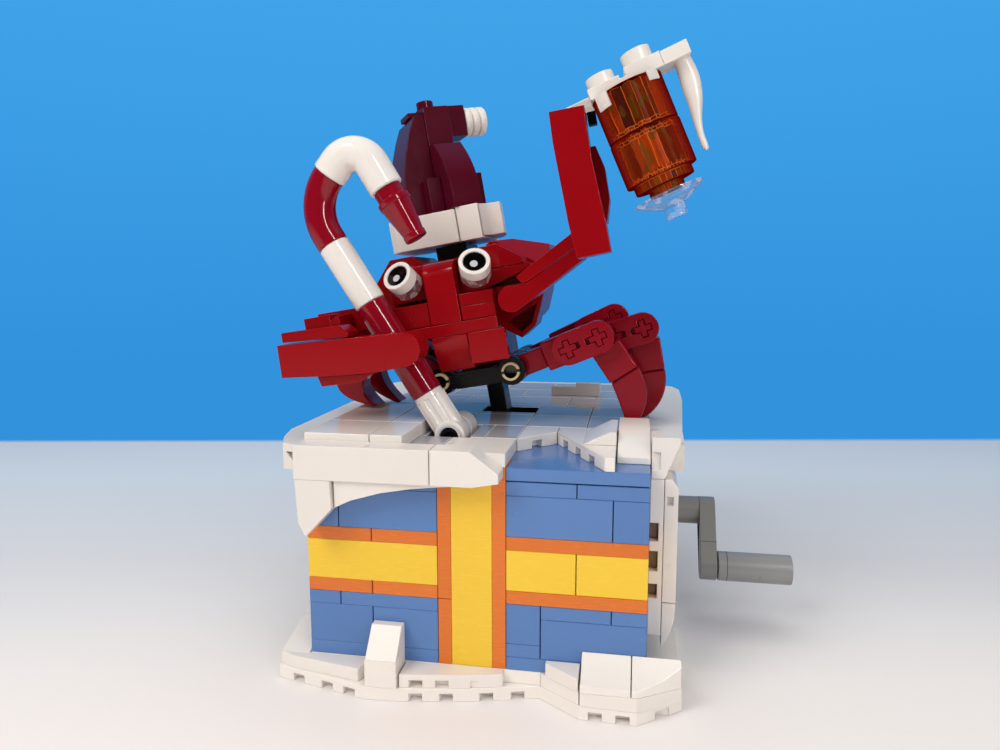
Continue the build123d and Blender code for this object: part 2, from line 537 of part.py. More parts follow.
crown_low = brim_top
front = -1.2                # front face of the crown and the bobble arm
crown = prism_y([(-3.9, crown_low), (-13.4, crown_low), (-13.3, 82), (-12.6, 87), (-10.9, 93.2), (-9.1, 98),
                 (-7.0, 102.4), (-5.6, 102.9), (-3.9, 102.9)], front, front + 13.6)
column = block(-3.8, 3.8, front, front + 8, crown_low, 105)
arm_block = block(3.85, 9.0, front + 0.4, front + 7.6, 96.3, 105)
stud = rod_z(-1.4, front + 4, 105, 107.2, stud_r)
step = block(-7.4, -3.9, front + 3, front + 10, 102.9, 104.3)
slope_curve = [(-4.3, 93.8), (-7.2, 90.6), (-9.3, 87.7), (-10.7, 84.9), (-11.6, 82.1), (-12.0, 78.8), (-12.0, crown_low)]
slope = prism_x([(front - 0.1, crown_low), (front - 0.1, 93.9), (-3.0, 94.1)] + slope_curve, -3.8, 4.7)
side_plate = block(4.0, 10.8, front, front + 6, crown_low, 85.4)
ribbed = block(-8.0, -3.9, -5.6, front - 0.1, crown_low, 84.4)
save("hat_cone", *on_hat(crown, column + stud, arm_block, step, slope, side_plate, ribbed))
save("hat_bobble", *on_hat(*[rod_x(front + 4, 100.8, xa, xb, 4.1) for xa, xb in ((9.1, 11.3), (11.4, 13.6), (13.7, 15.9))]))

# ---- raised arm and its claw ----
arm_front = -34.0
arm_back = -26.0
lower_bar = arc_points(shoulder_x, shoulder_z, shoulder_r, 70, 300, 12) + [(37.6, 54.2), (36.6, 57.4), (22.6, 50.9)]
bar = prism_y(lower_bar, arm_front, arm_back) - rod_y(shoulder_x, shoulder_z, -30.8, -20, 1.8 + run)
upper_bar = prism_y([(21.2, 51.0), (22.5, 51.0), (36.6, 57.6), (36.6, 61.3), (34.8, 60.4), (20.2, 52.8)], arm_front, arm_back)
save("arm_left", *on_crab(bar, upper_bar))
mug_pin = (40.6, 83.9)       # where the mug hangs on the claw, from the crab's middle
mug_pin_r = 1.2
claw_front = -51.0
slab = prism_y([(36.8, 53.8), (44.4, 54.0), (44.3, 59.6), (43.8, 67.4), (43.4, 74.4), (43.4, 81.5), (43.6, 85.5),
                (35.9, 85.7), (35.7, 79.3), (35.9, 71.5), (36.2, 62.1)], claw_front, -43.0)
slab = slab - rod_y(mug_pin[0], mug_pin[1], -45.0, -42, mug_pin_r)
finger = prism_y([(38.5, 60.7), (44.4, 61.0), (45.7, 66), (45.7, 73), (44.4, 78.1), (39.5, 78.1)], -42.9, -35.0)
wrist = prism_y([(37.2, 54.6), (42.8, 56.0), (42.8, 60.6), (37.2, 60.6)], -42.9, arm_front - 0.1)
save("claw_left", *on_crab(slab, finger, wrist))
pin_bar = rod_y(mug_pin[0], mug_pin[1], -45.0, -38.8, mug_pin_r)
pin_stop = block(43.65, 45.6, -44.9, -43.1, 82.2, 85.2)
save("claw_left_pin", *on_crab(pin_bar, pin_stop))

# ---- mug: drawn upright about its own axis, then leaned ----
mug_y = -49.0
mug_top = (32.6, 136.35)
mug_lean = 23.4


def in_mug(*shapes):
    move = Pos(mug_top[0], mug_y, mug_top[1]) * Rot(0, -mug_lean, 0)
    return [move * s for s in shapes]


glass_a = rod_z(0.3, 0, -9.9, 0, 7.7)
glass_b = rod_z(0.3, 0, -20.0, -10.1, 7.8) + rod_z(0.4, 0, -22.0, -20.0, 6.5) + rod_z(0.2, 0, -23.7, -22.0, 3.9)
save("mug_glass", *in_mug(glass_a, glass_b))
rise = (radians(tilt), mug_pin[0] + crab_x, mug_pin[1])
pin_x = rise[1] * cos(rise[0]) - rise[2] * sin(rise[0])
pin_z = pivot_z + rise[1] * sin(rise[0]) + rise[2] * cos(rise[0])
lean = radians(mug_lean)
rel = (pin_x - mug_top[0], pin_z - mug_top[1])
clip_x = rel[0] * cos(lean) + rel[1] * sin(lean)
clip_z = -rel[0] * sin(lean) + rel[1] * cos(lean)
lid = block(-7.5, -0.4, -4, 4, 0.05, 2.4) + block(0.9, 8.8, -4, 4, 0.05, 3.2) + block(-7.5, 8.8, -4, 4, 0.05, 1.6)
lid += rod_z(-4.0, 0, 2.3, 4.9, 3.05) + rod_z(4.6, 0, 3.1, 6.2, 3.2)
lid += block(8.7, 14.6, -3.9, 3.9, 0.05, 3.0)
lid += block(-6.0, -2.0, 3.8, 9.8, 0.05, 1.9)
lid += block(clip_x, -9, 6.4, 9.8, clip_z - 1.3, 1.9) + block(-9.1, -2.0, 6.4, 9.8, 0.05, 1.9)
lid += rod_y(clip_x, clip_z, 6.4, 9.8, 2.4)
lid = lid - rod_y(clip_x, clip_z, 4, 12, mug_pin_r + run)
horn = prism_y([(14.6, 0.5), (14.7, -0.2), (15.0, -2.5), (14.9, -4.5), (14.5, -6.4), (14.0, -8.1), (13.3, -9.7),
                (12.7, -11.0), (12.0, -12.8), (11.55, -14.4), (11.4, -16.0), (11.4, -18.1), (11.1, -18.8),
                (10.5, -18.9), (10.1, -18.3), (10.0, -17.0), (10.3, -13.0), (10.6, -8.7), (10.75, -4.7),
                (11.0, -0.2), (11.0, 0.5)], -1.7, 1.7)
save("mug_foam", *in_mug(lid + horn))
dish = rod_z(0.2, 0, -24.4, -23.8, 7.8)
dish += loft([Plane(origin=(0.2, 0, -26.7)) * Circle(3.2), Plane(origin=(0.2, 0, -24.4)) * Circle(7.8)], ruled=True)
dish += rod_z(0.2, 0, -29.3, -26.7, 2.4)
save("mug_dish", *in_mug(dish))

# ---- lowered arm and its claw, in front of and behind the cane ----
arm_r = prism_y([(-19, 46.2), (-17.6, 49.3), (-19.6, 52.2), (-38, 52.4), (-38, 46.6)], -31.2, -28.35)
arm_r = arm_r - rod_y(-elbow_x + crab_x, elbow_z, -40, -20, 1.8 + run)
bridge = block(-38, -31, -40, -31.25, 46.9, 51.6)
stub = rod_y(-27.6, 45.8, -39.9, -31.3, 5.4) & block(-34, -28.6, -45, -31, 46.9, 52)
save("arm_right", *leaning(arm_r, bridge, stub))
claw = prism_y([(-42.5, 46.3), (-42.9, 38.3), (-31, 36.9), (-19.5, 36.0), (-10.4, 36.2), (-8.0, 37.4), (-6.9, 39.6),
                (-7.3, 42.2), (-8.6, 43.7), (-10.4, 44.3), (-26, 45.2)], -48, -40.05)
thumb = prism_y([(-41.1, 49.1), (-26, 48.5), (-24.0, 46.5), (-24.4, 45.35), (-41.2, 46.7)], -47.4, -40.1)
spur = prism_y([(-34.6, 37.1), (-23.6, 36.2), (-20.5, 35.9), (-23.6, 34.2), (-34.0, 34.5)], -46, -41)
save("claw_right", *leaning(claw, thumb, spur))

# ---- candy cane ----
cane_a = radians(cane_dir)


def along(dist):
    return foot_x + dist * cos(cane_a), foot_z + dist * sin(cane_a)


def cane_rod(d0, d1, r0, r1=None):
    # straight or tapered length of cane between two distances from its pivot
    x0, z0 = along(d0)
    start = Plane(origin=(x0, cane_y, z0), x_dir=(0, 1, 0), z_dir=(cos(cane_a), 0, sin(cane_a)))
    return extrude(start * Circle(r0), d1 - d0)


def bend(cx, cz, radius, a0, a1, r=cane_r):
    a = radians(a0)
    start = Plane(origin=(cx + radius * cos(a), cane_y, cz + radius * sin(a)), x_dir=(cos(a), 0, sin(a)),
                  z_dir=(-sin(a), 0, cos(a)))
    return revolve(start * Circle(r), Axis((cx, cane_y, cz), (0, -1, 0)), a1 - a0)


turn_1 = 13.0
turn_2 = 5.45
elbow_r = 4.35        # the white elbow is a little wider than the rest
elbow_run = 3.8      # straight length before its bend
elbow_drop = 7.1     # straight length after it
straight_end = 58.8
ends = (12.15, 38.9, 56.3)
side_a = cane_a - radians(90)
c1 = (along(straight_end)[0] + turn_1 * cos(side_a), along(straight_end)[1] + turn_1 * sin(side_a))
seam_a = 142.0
joint_p = (c1[0] + turn_1 * cos(radians(seam_a)), c1[1] + turn_1 * sin(radians(seam_a)))
bend_p = (joint_p[0] + elbow_run * sin(radians(seam_a)), joint_p[1] - elbow_run * cos(radians(seam_a)))
c2 = (bend_p[0] - turn_2 * cos(radians(seam_a)), bend_p[1] - turn_2 * sin(radians(seam_a)))
hook_a = 31.5
hook_dir = radians(hook_a - 90)
bend_end = (c2[0] + turn_2 * cos(radians(hook_a)), c2[1] + turn_2 * sin(radians(hook_a)))
hook_p = (bend_end[0] + elbow_drop * cos(hook_dir), bend_end[1] + elbow_drop * sin(hook_dir))
cane_eye = rod_y(foot_x, foot_z, cane_y - cane_r, cane_y + cane_r - 0.1, 3.9) + cane_rod(0, ends[0] - seam, cane_r)
cane_eye = cane_eye - rod_y(foot_x, foot_z, -60, 0, pin_r + run)
white_mid = cane_rod(ends[1] + seam, ends[2] - seam, cane_r)


def run_plane(px, pz, a):
    return Plane(origin=(px, cane_y, pz), x_dir=(0, 1, 0), z_dir=(cos(a), 0, sin(a)))


white_bend = bend(c2[0], c2[1], turn_2, hook_a, seam_a, elbow_r)
white_bend += extrude(run_plane(bend_p[0], bend_p[1], radians(seam_a + 90)) * Circle(elbow_r), elbow_run - 0.1)
white_bend += extrude(run_plane(bend_end[0], bend_end[1], hook_dir) * Circle(elbow_r), elbow_drop)
save("cane_white", cane_eye, white_mid, white_bend)
red_low = cane_rod(ends[0], ends[1], cane_r)
red_top = cane_rod(ends[2], straight_end, cane_r) + bend(c1[0], c1[1], turn_1, seam_a, cane_dir + 90)

def hook_plane(dist):
    return run_plane(hook_p[0] + dist * cos(hook_dir), hook_p[1] + dist * sin(hook_dir), hook_dir)


tip = extrude(hook_plane(0.1) * Circle(3.7), 2.9) + extrude(hook_plane(2.9) * Circle(4.3), 1.5)
tip += loft([hook_plane(4.4) * Circle(4.1), hook_plane(14.3) * Circle(2.75)], ruled=True)
save("cane_red", red_low, red_top, tip)

# ---- legs ----
deck_foot = deck_top + 0.5
strip_foot = deck_top + plate + 0.5
link_r = 4.2


def hip_world(side):
    t = radians(tilt)
    return side * hip_x * cos(t) - hip_z * sin(t), pivot_z + side * hip_x * sin(t) + hip_z * cos(t)


def segment(p, q, r, y0, y1):
    # flat bar with square ends between two points in the XZ plane
    length = hypot(q[0] - p[0], q[1] - p[1])
    a = degrees(atan2(q[1] - p[1], q[0] - p[0]))
    return Pos(p[0], 0, p[1]) * Rot(0, -a, 0) * block(0, length, y0, y1, -r, r)


def bezier(p0, p1, p2, n):
    return [tuple((1 - t) ** 2 * a + 2 * t * (1 - t) * b + t * t * c for a, b, c in zip(p0, p1, p2))
            for t in [i / n for i in range(n + 1)]]


def leg(side, y0, reach, rise_deg, foot_px, foot_pz, spread, shin):
    hx, hz = hip_world(side)
    e = radians(rise_deg)
    ux, uz = side * cos(e), sin(e)
    bx, bz = hx + reach * ux, hz + reach * uz
    y1 = y0 + tube_y
    mid = (y0 + y1) / 2
    knuckle = rod_y(hx, hz, mid - 1.9, mid + 1.9, hip_r)
    knuckle += segment((hx, hz), (hx + 9 * ux, hz + 9 * uz), 2.9, mid - 1.9, mid + 1.9)
    knuckle = knuckle - rod_y(hx, hz, -60, 60, pin_r + run)
    thigh = segment((hx + 9.1 * ux, hz + 9.1 * uz), (bx, bz), tube_r, y0, y1) + rod_y(bx, bz, y0, y1, tube_r)
    ax, az = bx - pitch * ux, bz - pitch * uz
    link = segment((ax, az), (bx, bz), link_r, y0 - 3.9, y0 - 0.1) + rod_y(ax, az, y0 - 3.9, y0 - 0.1, link_r)
    link += rod_y(bx, bz, y0 - 3.9, y0 - 0.1, link_r)
    link = link - segment((ax, az), (bx, bz), 0.8, y0 - 4, y0 - 2.2)
    link += segment(((ax + bx) / 2 - 0.8 * ux, (az + bz) / 2 - 0.8 * uz),
                    ((ax + bx) / 2 + 0.8 * ux, (az + bz) / 2 + 0.8 * uz), 1.0, y0 - 3.9, y0 - 2)
    for px, pz in ((ax, az), (bx, bz)):
        for turn in (0, 90):
            link = link - Pos(px, 0, pz) * Rot(0, -rise_deg * side + turn, 0) * block(-2.4, 2.4, y0 - 4, y0 - 2.2,
                                                                                       -0.9, 0.9)
    # shin: a round-cornered bar that leans outward by spread, then a talon that curves back to the foot
    lean = radians(spread)
    dx, dz = side * sin(lean), -cos(lean)
    ox, oz = side * cos(lean), sin(lean)
    sx, sz = bx + shin * dx, bz + shin * dz
    thigh += segment((bx + 3.4 * dx, bz + 3.4 * dz), (sx, sz), tube_r + 0.2, y0 + 0.1, y1 - 0.1)
    sx, sz = sx + 0.12 * dx, sz + 0.12 * dz
    tip = (foot_px, foot_pz)
    outer = bezier((sx + 4.2 * ox, sz + 4.2 * oz), (sx + 4.2 * ox + 9 * dx, sz + 4.2 * oz + 8.6 * dz),
                   (tip[0] + side * 1.4, tip[1] + 0.5), 10)
    inner = bezier((tip[0] - side * 1.0, tip[1] + 0.6), (sx - 3.9 * ox + 3.6 * dx, sz - 3.9 * oz + 5.0 * dz),
                   (sx - 3.9 * ox, sz - 3.9 * oz), 8)
    claw_foot = prism_y(outer + [tip] + inner, y0 + 0.6, y1 - 0.6)
    return [knuckle, thigh, link, claw_foot]


legs = {
    "leg_right_front": (1, 0, 24.0, 22.4, 35.2, deck_foot, 34, 12.0),
    "leg_right_middle": (1, 1, 35.2, 17.7, 38.0, deck_foot, 10, 12.0),
    "leg_right_rear": (1, 2, 28.5, 26.0, 35.0, deck_foot, 22, 12.6),
    "leg_left_front": (-1, 0, 25.0, 31.0, -34.6, strip_foot, 22, 12.6),
    "leg_left_middle": (-1, 1, 30.0, 27.0, -37.6, deck_foot, 22, 12.6),
    "leg_left_rear": (-1, 2, 28.5, 29.0, -35.6, deck_foot, 22, 12.6),
}
for name, (side, row, *rest) in legs.items():
    save(name, *leg(side, leg_front[row], *rest))
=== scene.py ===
# A hand-cranked brick-built automaton: a crab in a winter hat on a snowy gift box.
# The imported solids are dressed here. The frame is in metres, and grids written in mm are multiplied by mm.
import json
import math
import bpy
import bmesh
import numpy as np
from mathutils import Euler, Matrix, Vector


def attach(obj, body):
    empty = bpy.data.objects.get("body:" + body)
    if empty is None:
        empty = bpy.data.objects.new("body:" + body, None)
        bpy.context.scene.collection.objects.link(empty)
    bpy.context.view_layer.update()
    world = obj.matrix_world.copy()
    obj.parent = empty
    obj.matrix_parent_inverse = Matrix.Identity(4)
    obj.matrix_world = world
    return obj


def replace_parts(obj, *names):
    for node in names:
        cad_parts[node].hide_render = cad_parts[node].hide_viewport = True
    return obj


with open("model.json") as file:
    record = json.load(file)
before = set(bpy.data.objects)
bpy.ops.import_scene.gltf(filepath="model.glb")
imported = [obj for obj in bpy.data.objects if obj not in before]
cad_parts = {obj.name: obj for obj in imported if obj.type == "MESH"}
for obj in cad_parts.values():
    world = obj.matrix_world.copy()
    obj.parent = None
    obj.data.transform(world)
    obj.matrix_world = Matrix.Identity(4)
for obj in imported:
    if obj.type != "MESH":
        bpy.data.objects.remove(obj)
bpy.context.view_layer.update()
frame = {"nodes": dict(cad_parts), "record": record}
mm = 0.001
bodyOf = {node: body for body, nodes in frame["record"]["behaviour"]["bodies"].items() for node in nodes}
print("frame loaded:", len(frame["nodes"]), "nodes")


class Wire:
    # one output of a node; arithmetic on it adds Math nodes
    def __init__(self, tree, socket):
        self.tree = tree
        self.socket = socket

    def maths(self, operation, first, second=None):
        node = self.tree.nodes.new("ShaderNodeMath")
        node.operation = operation
        for place, value in zip(node.inputs, (first, second)):
            plug(self.tree, place, value)
        return Wire(self.tree, node.outputs[0])

    def size(self):
        return self.maths("ABSOLUTE", self)

    def most(self, other):
        return self.maths("MAXIMUM", self, other)

    def __add__(self, other):
        return self.maths("ADD", self, other)

    def __sub__(self, other):
        return self.maths("SUBTRACT", self, other)

    def __mul__(self, other):
        return self.maths("MULTIPLY", self, other)

    def __truediv__(self, other):
        return self.maths("DIVIDE", self, other)

    def __rsub__(self, other):
        return self.maths("SUBTRACT", other, self)

    def __rtruediv__(self, other):
        return self.maths("DIVIDE", other, self)

    def __gt__(self, other):
        return self.maths("GREATER_THAN", self, other)

    def __lt__(self, other):
        return self.maths("LESS_THAN", self, other)

    __radd__ = __add__
    __rmul__ = __mul__


def plug(tree, place, value):
    # a link where the value is a wire, and otherwise a fixed value
    if isinstance(value, Wire):
        tree.links.new(value.socket, place)
    elif value is not None:
        place.default_value = value


class Nodes:
    # a node tree, and the one way to add any node to it
    def __init__(self, tree):
        self.tree = tree

    def node(self, kind, settings=None, inputs=None, out=0):
        node = self.tree.nodes.new(kind)
        for key, value in (settings or {}).items():
            if key == "stops":
                ramp = node.color_ramp
                while len(ramp.elements) < len(value):
                    ramp.elements.new(0.5)
                for element, (position, tint) in zip(ramp.elements, value):
                    element.position = position
                    element.color = tint
            else:
                setattr(node, key, value)
        for key, value in (inputs or {}).items():
            plug(self.tree, node.inputs[key], value)
        return Wire(self.tree, node.outputs[out])

    def mix(self, factor, first, second):
        return self.node("ShaderNodeMix", {"data_type": "RGBA"}, {0: factor, 6: first, 7: second}, 2)

    def clamp(self, value):
        return self.node("ShaderNodeClamp", {}, {"Value": value})


class Finish(Nodes):
    # a material and its Principled shader
    def __init__(self, name):
        self.material = bpy.data.materials.new(name)
        self.material.use_nodes = True
        super().__init__(self.material.node_tree)
        self.shader = self.tree.nodes["Principled BSDF"]
        self.place = self.node("ShaderNodeTexCoord", out="Object")

    def noise(self, scale, detail=1.0, stretch=None, where=None):
        where = where or self.place
        if stretch:
            where = self.node("ShaderNodeMapping", {}, {"Vector": where, "Scale": stretch})
        return self.node("ShaderNodeTexNoise", {}, {"Vector": where, "Scale": scale, "Detail": detail}, "Fac")

    def rim(self, blend):
        return self.node("ShaderNodeLayerWeight", {}, {"Blend": blend}, "Facing")

    def set(self, **sockets):
        for key, value in sockets.items():
            plug(self.tree, self.shader.inputs[key.replace("_", " ")], value)
        return self.material


def colour(red, green, blue):
    # display values 0..255 to the linear values that Blender's sockets take
    shares = [value / 255 for value in (red, green, blue)]
    return tuple(v / 12.92 if v <= 0.04045 else ((v + 0.055) / 1.055) ** 2.4 for v in shares) + (1.0,)


# moulded plastics: two close tones, the roughness, how much fine rubbing shows, and an unusual shine
plastics = {
    "snow": dict(base=(235, 229, 222), low=(226, 219, 211), rough=0.30, grain=0.08),
    # snowLow is a brighter copy of snow: painted light on the base, the drifts, the box floor and the hat
    # brim
    "snowLow": dict(base=(244, 237, 229), low=(236, 228, 220), rough=0.30, grain=0.08),
    "whiteGloss": dict(base=(238, 232, 225), low=(232, 225, 218), rough=0.11, grain=0.03),
    "sky": dict(base=(88, 128, 186), low=(80, 119, 177), rough=0.20, grain=0.05),
    "amberBand": dict(base=(246, 204, 56), low=(238, 194, 48), rough=0.24, grain=0.06),
    "orangeRail": dict(base=(224, 118, 36), low=(214, 108, 30), rough=0.24, grain=0.06),
    "crabRed": dict(base=(150, 9, 18), low=(132, 6, 15), rough=0.13, grain=0.04, shine=0.2),
    # legRed is crabRed made darker and bluer: painted shade and a painted reflection of the blue backdrop on
    # the legs
    "legRed": dict(base=(142, 12, 30), low=(124, 9, 26), rough=0.14, grain=0.04, shine=0.2),
    # deepRed is a darker copy of crabRed: painted shade on the belly
    "deepRed": dict(base=(112, 8, 18), low=(98, 6, 15), rough=0.14, grain=0.04, shine=0.15),
    "caneRed": dict(base=(142, 10, 32), low=(128, 8, 28), rough=0.09, grain=0.02, shine=0.4),
    "hatMaroon": dict(base=(84, 14, 33), low=(70, 10, 28), rough=0.14, grain=0.04, shine=0.2),
    "deckGrey": dict(base=(180, 178, 184), low=(171, 169, 176), rough=0.08, grain=0.04),
    # deckEdgeHighlight is a pale finish for the rounded tile edges: painted highlight along the seams
    "deckEdgeHighlight": dict(base=(226, 224, 226), low=(220, 218, 220), rough=0.30, grain=0.05),
    "ironGrey": dict(base=(130, 130, 126), low=(120, 120, 117), rough=0.30, grain=0.03),
    "stoneGrey": dict(base=(146, 146, 145), low=(138, 138, 137), rough=0.30, grain=0.03),
    "paleGrey": dict(base=(196, 196, 198), low=(186, 186, 188), rough=0.26, grain=0.05),
    "seamGrey": dict(base=(84, 84, 82), low=(76, 76, 75), rough=0.40, grain=0.02),
    "black": dict(base=(9, 9, 10), low=(7, 7, 8), rough=0.26, grain=0.05, shine=0.22),
    "pupil": dict(base=(5, 5, 6), low=(4, 4, 5), rough=0.10, grain=0.02),
    "brown": dict(base=(122, 90, 60), low=(106, 78, 52), rough=0.28, grain=0.06),
    "tan": dict(base=(206, 184, 138), low=(196, 172, 126), rough=0.28, grain=0.06),
}
mouldValues = dict(cloud=45.0, ripple=260.0, hair=5200.0, hairWay=(0.05, 1.0, 0.5), rubbed=0.62,
                   toneShare=0.55, roughSwing=0.10, rippleShare=0.7, bump=0.035, bumpReach=0.0004, shine=0.5)


def plastic(name):
    # each moulding has its own tone; a slow cloud, a fine ripple and rubbed hairs run over all of them
    values, mould = plastics[name], mouldValues
    finish = Finish(name)
    tone = finish.node("ShaderNodeAttribute", {"attribute_name": "tone"}, out="Fac")
    cloud = finish.noise(mould["cloud"], 2.0)
    ripple = finish.noise(mould["ripple"])
    hairs = finish.noise(mould["hair"], stretch=mould["hairWay"])
    tint = finish.mix(cloud * (1 - mould["toneShare"]) + tone * mould["toneShare"], colour(*values["low"]),
                      colour(*values["base"]))
    rub = (hairs > mould["rubbed"]) * values["grain"]
    rough = ripple * mould["roughSwing"] + (values["rough"] - mould["roughSwing"] / 2) + rub
    height = ripple * mould["rippleShare"] + hairs * (1 - mould["rippleShare"])
    relief = finish.node("ShaderNodeBump", {}, {"Height": height, "Strength": mould["bump"],
                                                "Distance": mould["bumpReach"]}, "Normal")
    return finish.set(Base_Color=tint, Roughness=rough, Normal=relief,
                      Specular_IOR_Level=values.get("shine", mould["shine"]))


clearValues = dict(base=(244, 234, 234), shadow=0.45, patch=420.0, bright=0.55, ripple=300.0, rim=0.25,
                   cover=0.03, rimShare=0.5, patchShare=0.15, rough=0.04, roughSwing=0.05, shine=0.6)


def clearPlastic(name):
    # thin clear plastic: it hides little where it faces the eye, and more along its edges and bright patches
    v = clearValues
    finish = Finish(name)
    patch = finish.noise(v["patch"]) > v["bright"]
    base = colour(*v["base"])
    shadow = tuple(share * v["shadow"] for share in base[:3]) + (1.0,)
    hidden = finish.rim(v["rim"]) * v["rimShare"] + patch * v["patchShare"] + v["cover"]
    return finish.set(Base_Color=finish.mix(patch, shadow, base),
                      Roughness=finish.noise(v["ripple"]) * v["roughSwing"] + v["rough"],
                      Alpha=finish.clamp(hidden), Specular_IOR_Level=v["shine"])


library = {name: plastic(name) for name in plastics}
library["clear"] = clearPlastic("clear")
nodeFinish = {
    "snow": ["snow_rim", "snow_lip", "snow_icicles", "snow_side_right", "snow_side_left", "cane_foot",
             "mug_foam"],
    # painted light: these pieces take the brighter copy of snow
    "snowLow": ["base_snow", "base_drifts", "box_floor", "hat_brim"],
    "whiteGloss": ["snow_top"],
    "deckGrey": ["deck_tiles"],
    "sky": ["wall_front", "wall_back", "wall_left", "wall_right", "deck_plate"],
    "orangeRail": ["ribbon_rails"],
    "amberBand": ["ribbon_band"],
    "brown": ["side_core"],
    "ironGrey": ["crank_arm", "frame", "cross_axle", "cam_disc", "crank_axle"],
    "stoneGrey": ["crank_grip", "crank_pin"],
    "black": ["sway_stem", "crab_frame", "hat_neck", "claw_left_pin", "sway_pin"],
    "tan": ["crank_gear", "cross_gear"],
    "crabRed": ["crab_face", "crab_shell", "arm_left", "claw_left", "arm_right", "claw_right"],
    # painted shade: the belly takes the darker copy of the crab's red
    "deepRed": ["crab_belly"],
    # painted shade and painted reflection: the legs take the darker, bluer copy of the crab's red
    "legRed": ["leg_right_front", "leg_right_middle", "leg_right_rear", "leg_left_front", "leg_left_middle",
               "leg_left_rear"],
    "hatMaroon": ["hat_cone"],
    "clear": ["mug_dish", "eye_sockets"],
}
finishOf = {node: name for name, nodes in nodeFinish.items() for node in nodes}
print("materials made:", len(library))

# how the parts of the crab stand: leans in degrees, places in mm
leanValues = dict(crab=10.0, stem=4.0, pivot=42.0, hat=35.0, hatBack=2.0, eyes=-34.0, eyesFront=-29.0,
                  eyesUp=55.65, mug=23.4, mugTop=(32.6, -49.0, 136.35))


def spun(first, second, degrees):
    # two coordinates turned about the third: (a cos t - b sin t, a sin t + b cos t)
    c, s = math.cos(math.radians(degrees)), math.sin(math.radians(degrees))
    return first * c - second * s, first * s + second * c


def crabPlace(p):
    # from beside the upright stem to its lean about the sway pin, by ten degrees
    x, z = spun(p[..., 0] - leanValues["stem"], p[..., 2], leanValues["crab"])
    return np.stack([x, p[..., 1], z + leanValues["pivot"]], axis=-1)


def leaned(p):
    # the same lean, with x measured from the stem's own middle
    return crabPlace(p + np.array([leanValues["stem"], 0, 0]))


def hatPlace(p):
    # the hat is turned about its neck, and then leans with the crab
    x, y = spun(p[..., 0], p[..., 1], leanValues["hat"])
    return crabPlace(np.stack([x, y - leanValues["hatBack"], p[..., 2]], axis=-1))


def eyePlace(p, x, yaw):
    # an eye looks along -Y: it is turned by yaw, tipped up, set on the face, and then leans with the crab
    u, v = spun(p[..., 0], p[..., 1], yaw)
    v, w = spun(v, p[..., 2], leanValues["eyes"])
    return crabPlace(np.stack([u + x, v + leanValues["eyesFront"], w + leanValues["eyesUp"]], axis=-1))


def mugPlace(p):
    # the mug leans about the middle of its rim
    x, z = spun(p[..., 0], p[..., 2], leanValues["mug"])
    return np.stack([x, p[..., 1], z], axis=-1) + np.array(leanValues["mugTop"])


def mugHeight(p):
    # height above the mug's rim, along its leaning axis
    rimX, rimY, rimZ = leanValues["mugTop"]
    return spun(p[..., 0] - rimX, p[..., 2] - rimZ, -leanValues["mug"])[1]


# rounded edges in mm, and what differs from a node's own finish: chosen by the middles of its solids, and by
# single points where something is left out for a turned piece
edgeValues = dict(width=0.2, segments=2, angle=33.0, flat=0.6, legWidth=0.5, legFront=2.5, tileHalf=8.0,
                  tileFront=-41.0)
partFinish = {"deck_tiles": (lambda m: (np.abs(m[:, 0]) < edgeValues["tileHalf"])
                             & (m[:, 1] < edgeValues["tileFront"]), "snow")}
# painted highlight: the rounded edges of the deck tiles take a paler finish
edgeHighlightFinish = {"deck_tiles": "deckEdgeHighlight"}
partRound = {leg: lambda m: m[:, 1] > m[:, 1].min() + edgeValues["legFront"] for leg in nodeFinish["legRed"]}
leftOut = {"mug_foam": lambda p: mugHeight(p) < 0.02}


def solidsOf(mesh):
    # triangle corners and, for each triangle, the number of the closed solid it belongs to:
    # the triangles of a solid follow each other, so no edge pairs up across the place where one solid ends
    mesh.calc_loop_triangles()
    count = len(mesh.loop_triangles)
    corner = np.empty(count * 3, np.int32)
    mesh.loop_triangles.foreach_get("vertices", corner)
    place = np.empty(len(mesh.vertices) * 3)
    mesh.vertices.foreach_get("co", place)
    step = 2e-7  # points nearer than this, in metres, are one point
    rounded = np.round(place.reshape(-1, 3) / step).astype(np.int64)
    key, number = np.unique(rounded, axis=0, return_inverse=True)
    triangle = number.reshape(-1)[corner].reshape(-1, 3)
    a = triangle.reshape(-1)
    b = np.roll(triangle, -1, axis=1).reshape(-1)
    edge = np.minimum(a, b).astype(np.int64) * len(key) + np.maximum(a, b)
    owner = np.repeat(np.arange(count), 3)
    order = np.lexsort((owner, edge))
    edge, owner = edge[order], owner[order]
    first = np.flatnonzero(np.r_[True, edge[1:] != edge[:-1]])
    rank = np.arange(len(edge)) - np.repeat(first, np.diff(np.r_[first, len(edge)]))
    even = np.flatnonzero(rank % 2 == 0)
    even = even[even + 1 < len(edge)]
    even = even[edge[even] == edge[even + 1]]
    cover = np.zeros(count + 1, np.int64)
    np.add.at(cover, owner[even], 1)
    np.add.at(cover, owner[even + 1], -1)
    return key * step, triangle, np.r_[0, np.cumsum(np.cumsum(cover)[:count - 1] == 0)]


def addValues(mesh, name, values):
    # one number for each vertex
    mesh.attributes.new(name, "FLOAT", "POINT").data.foreach_set("value", np.asarray(values, np.float32))


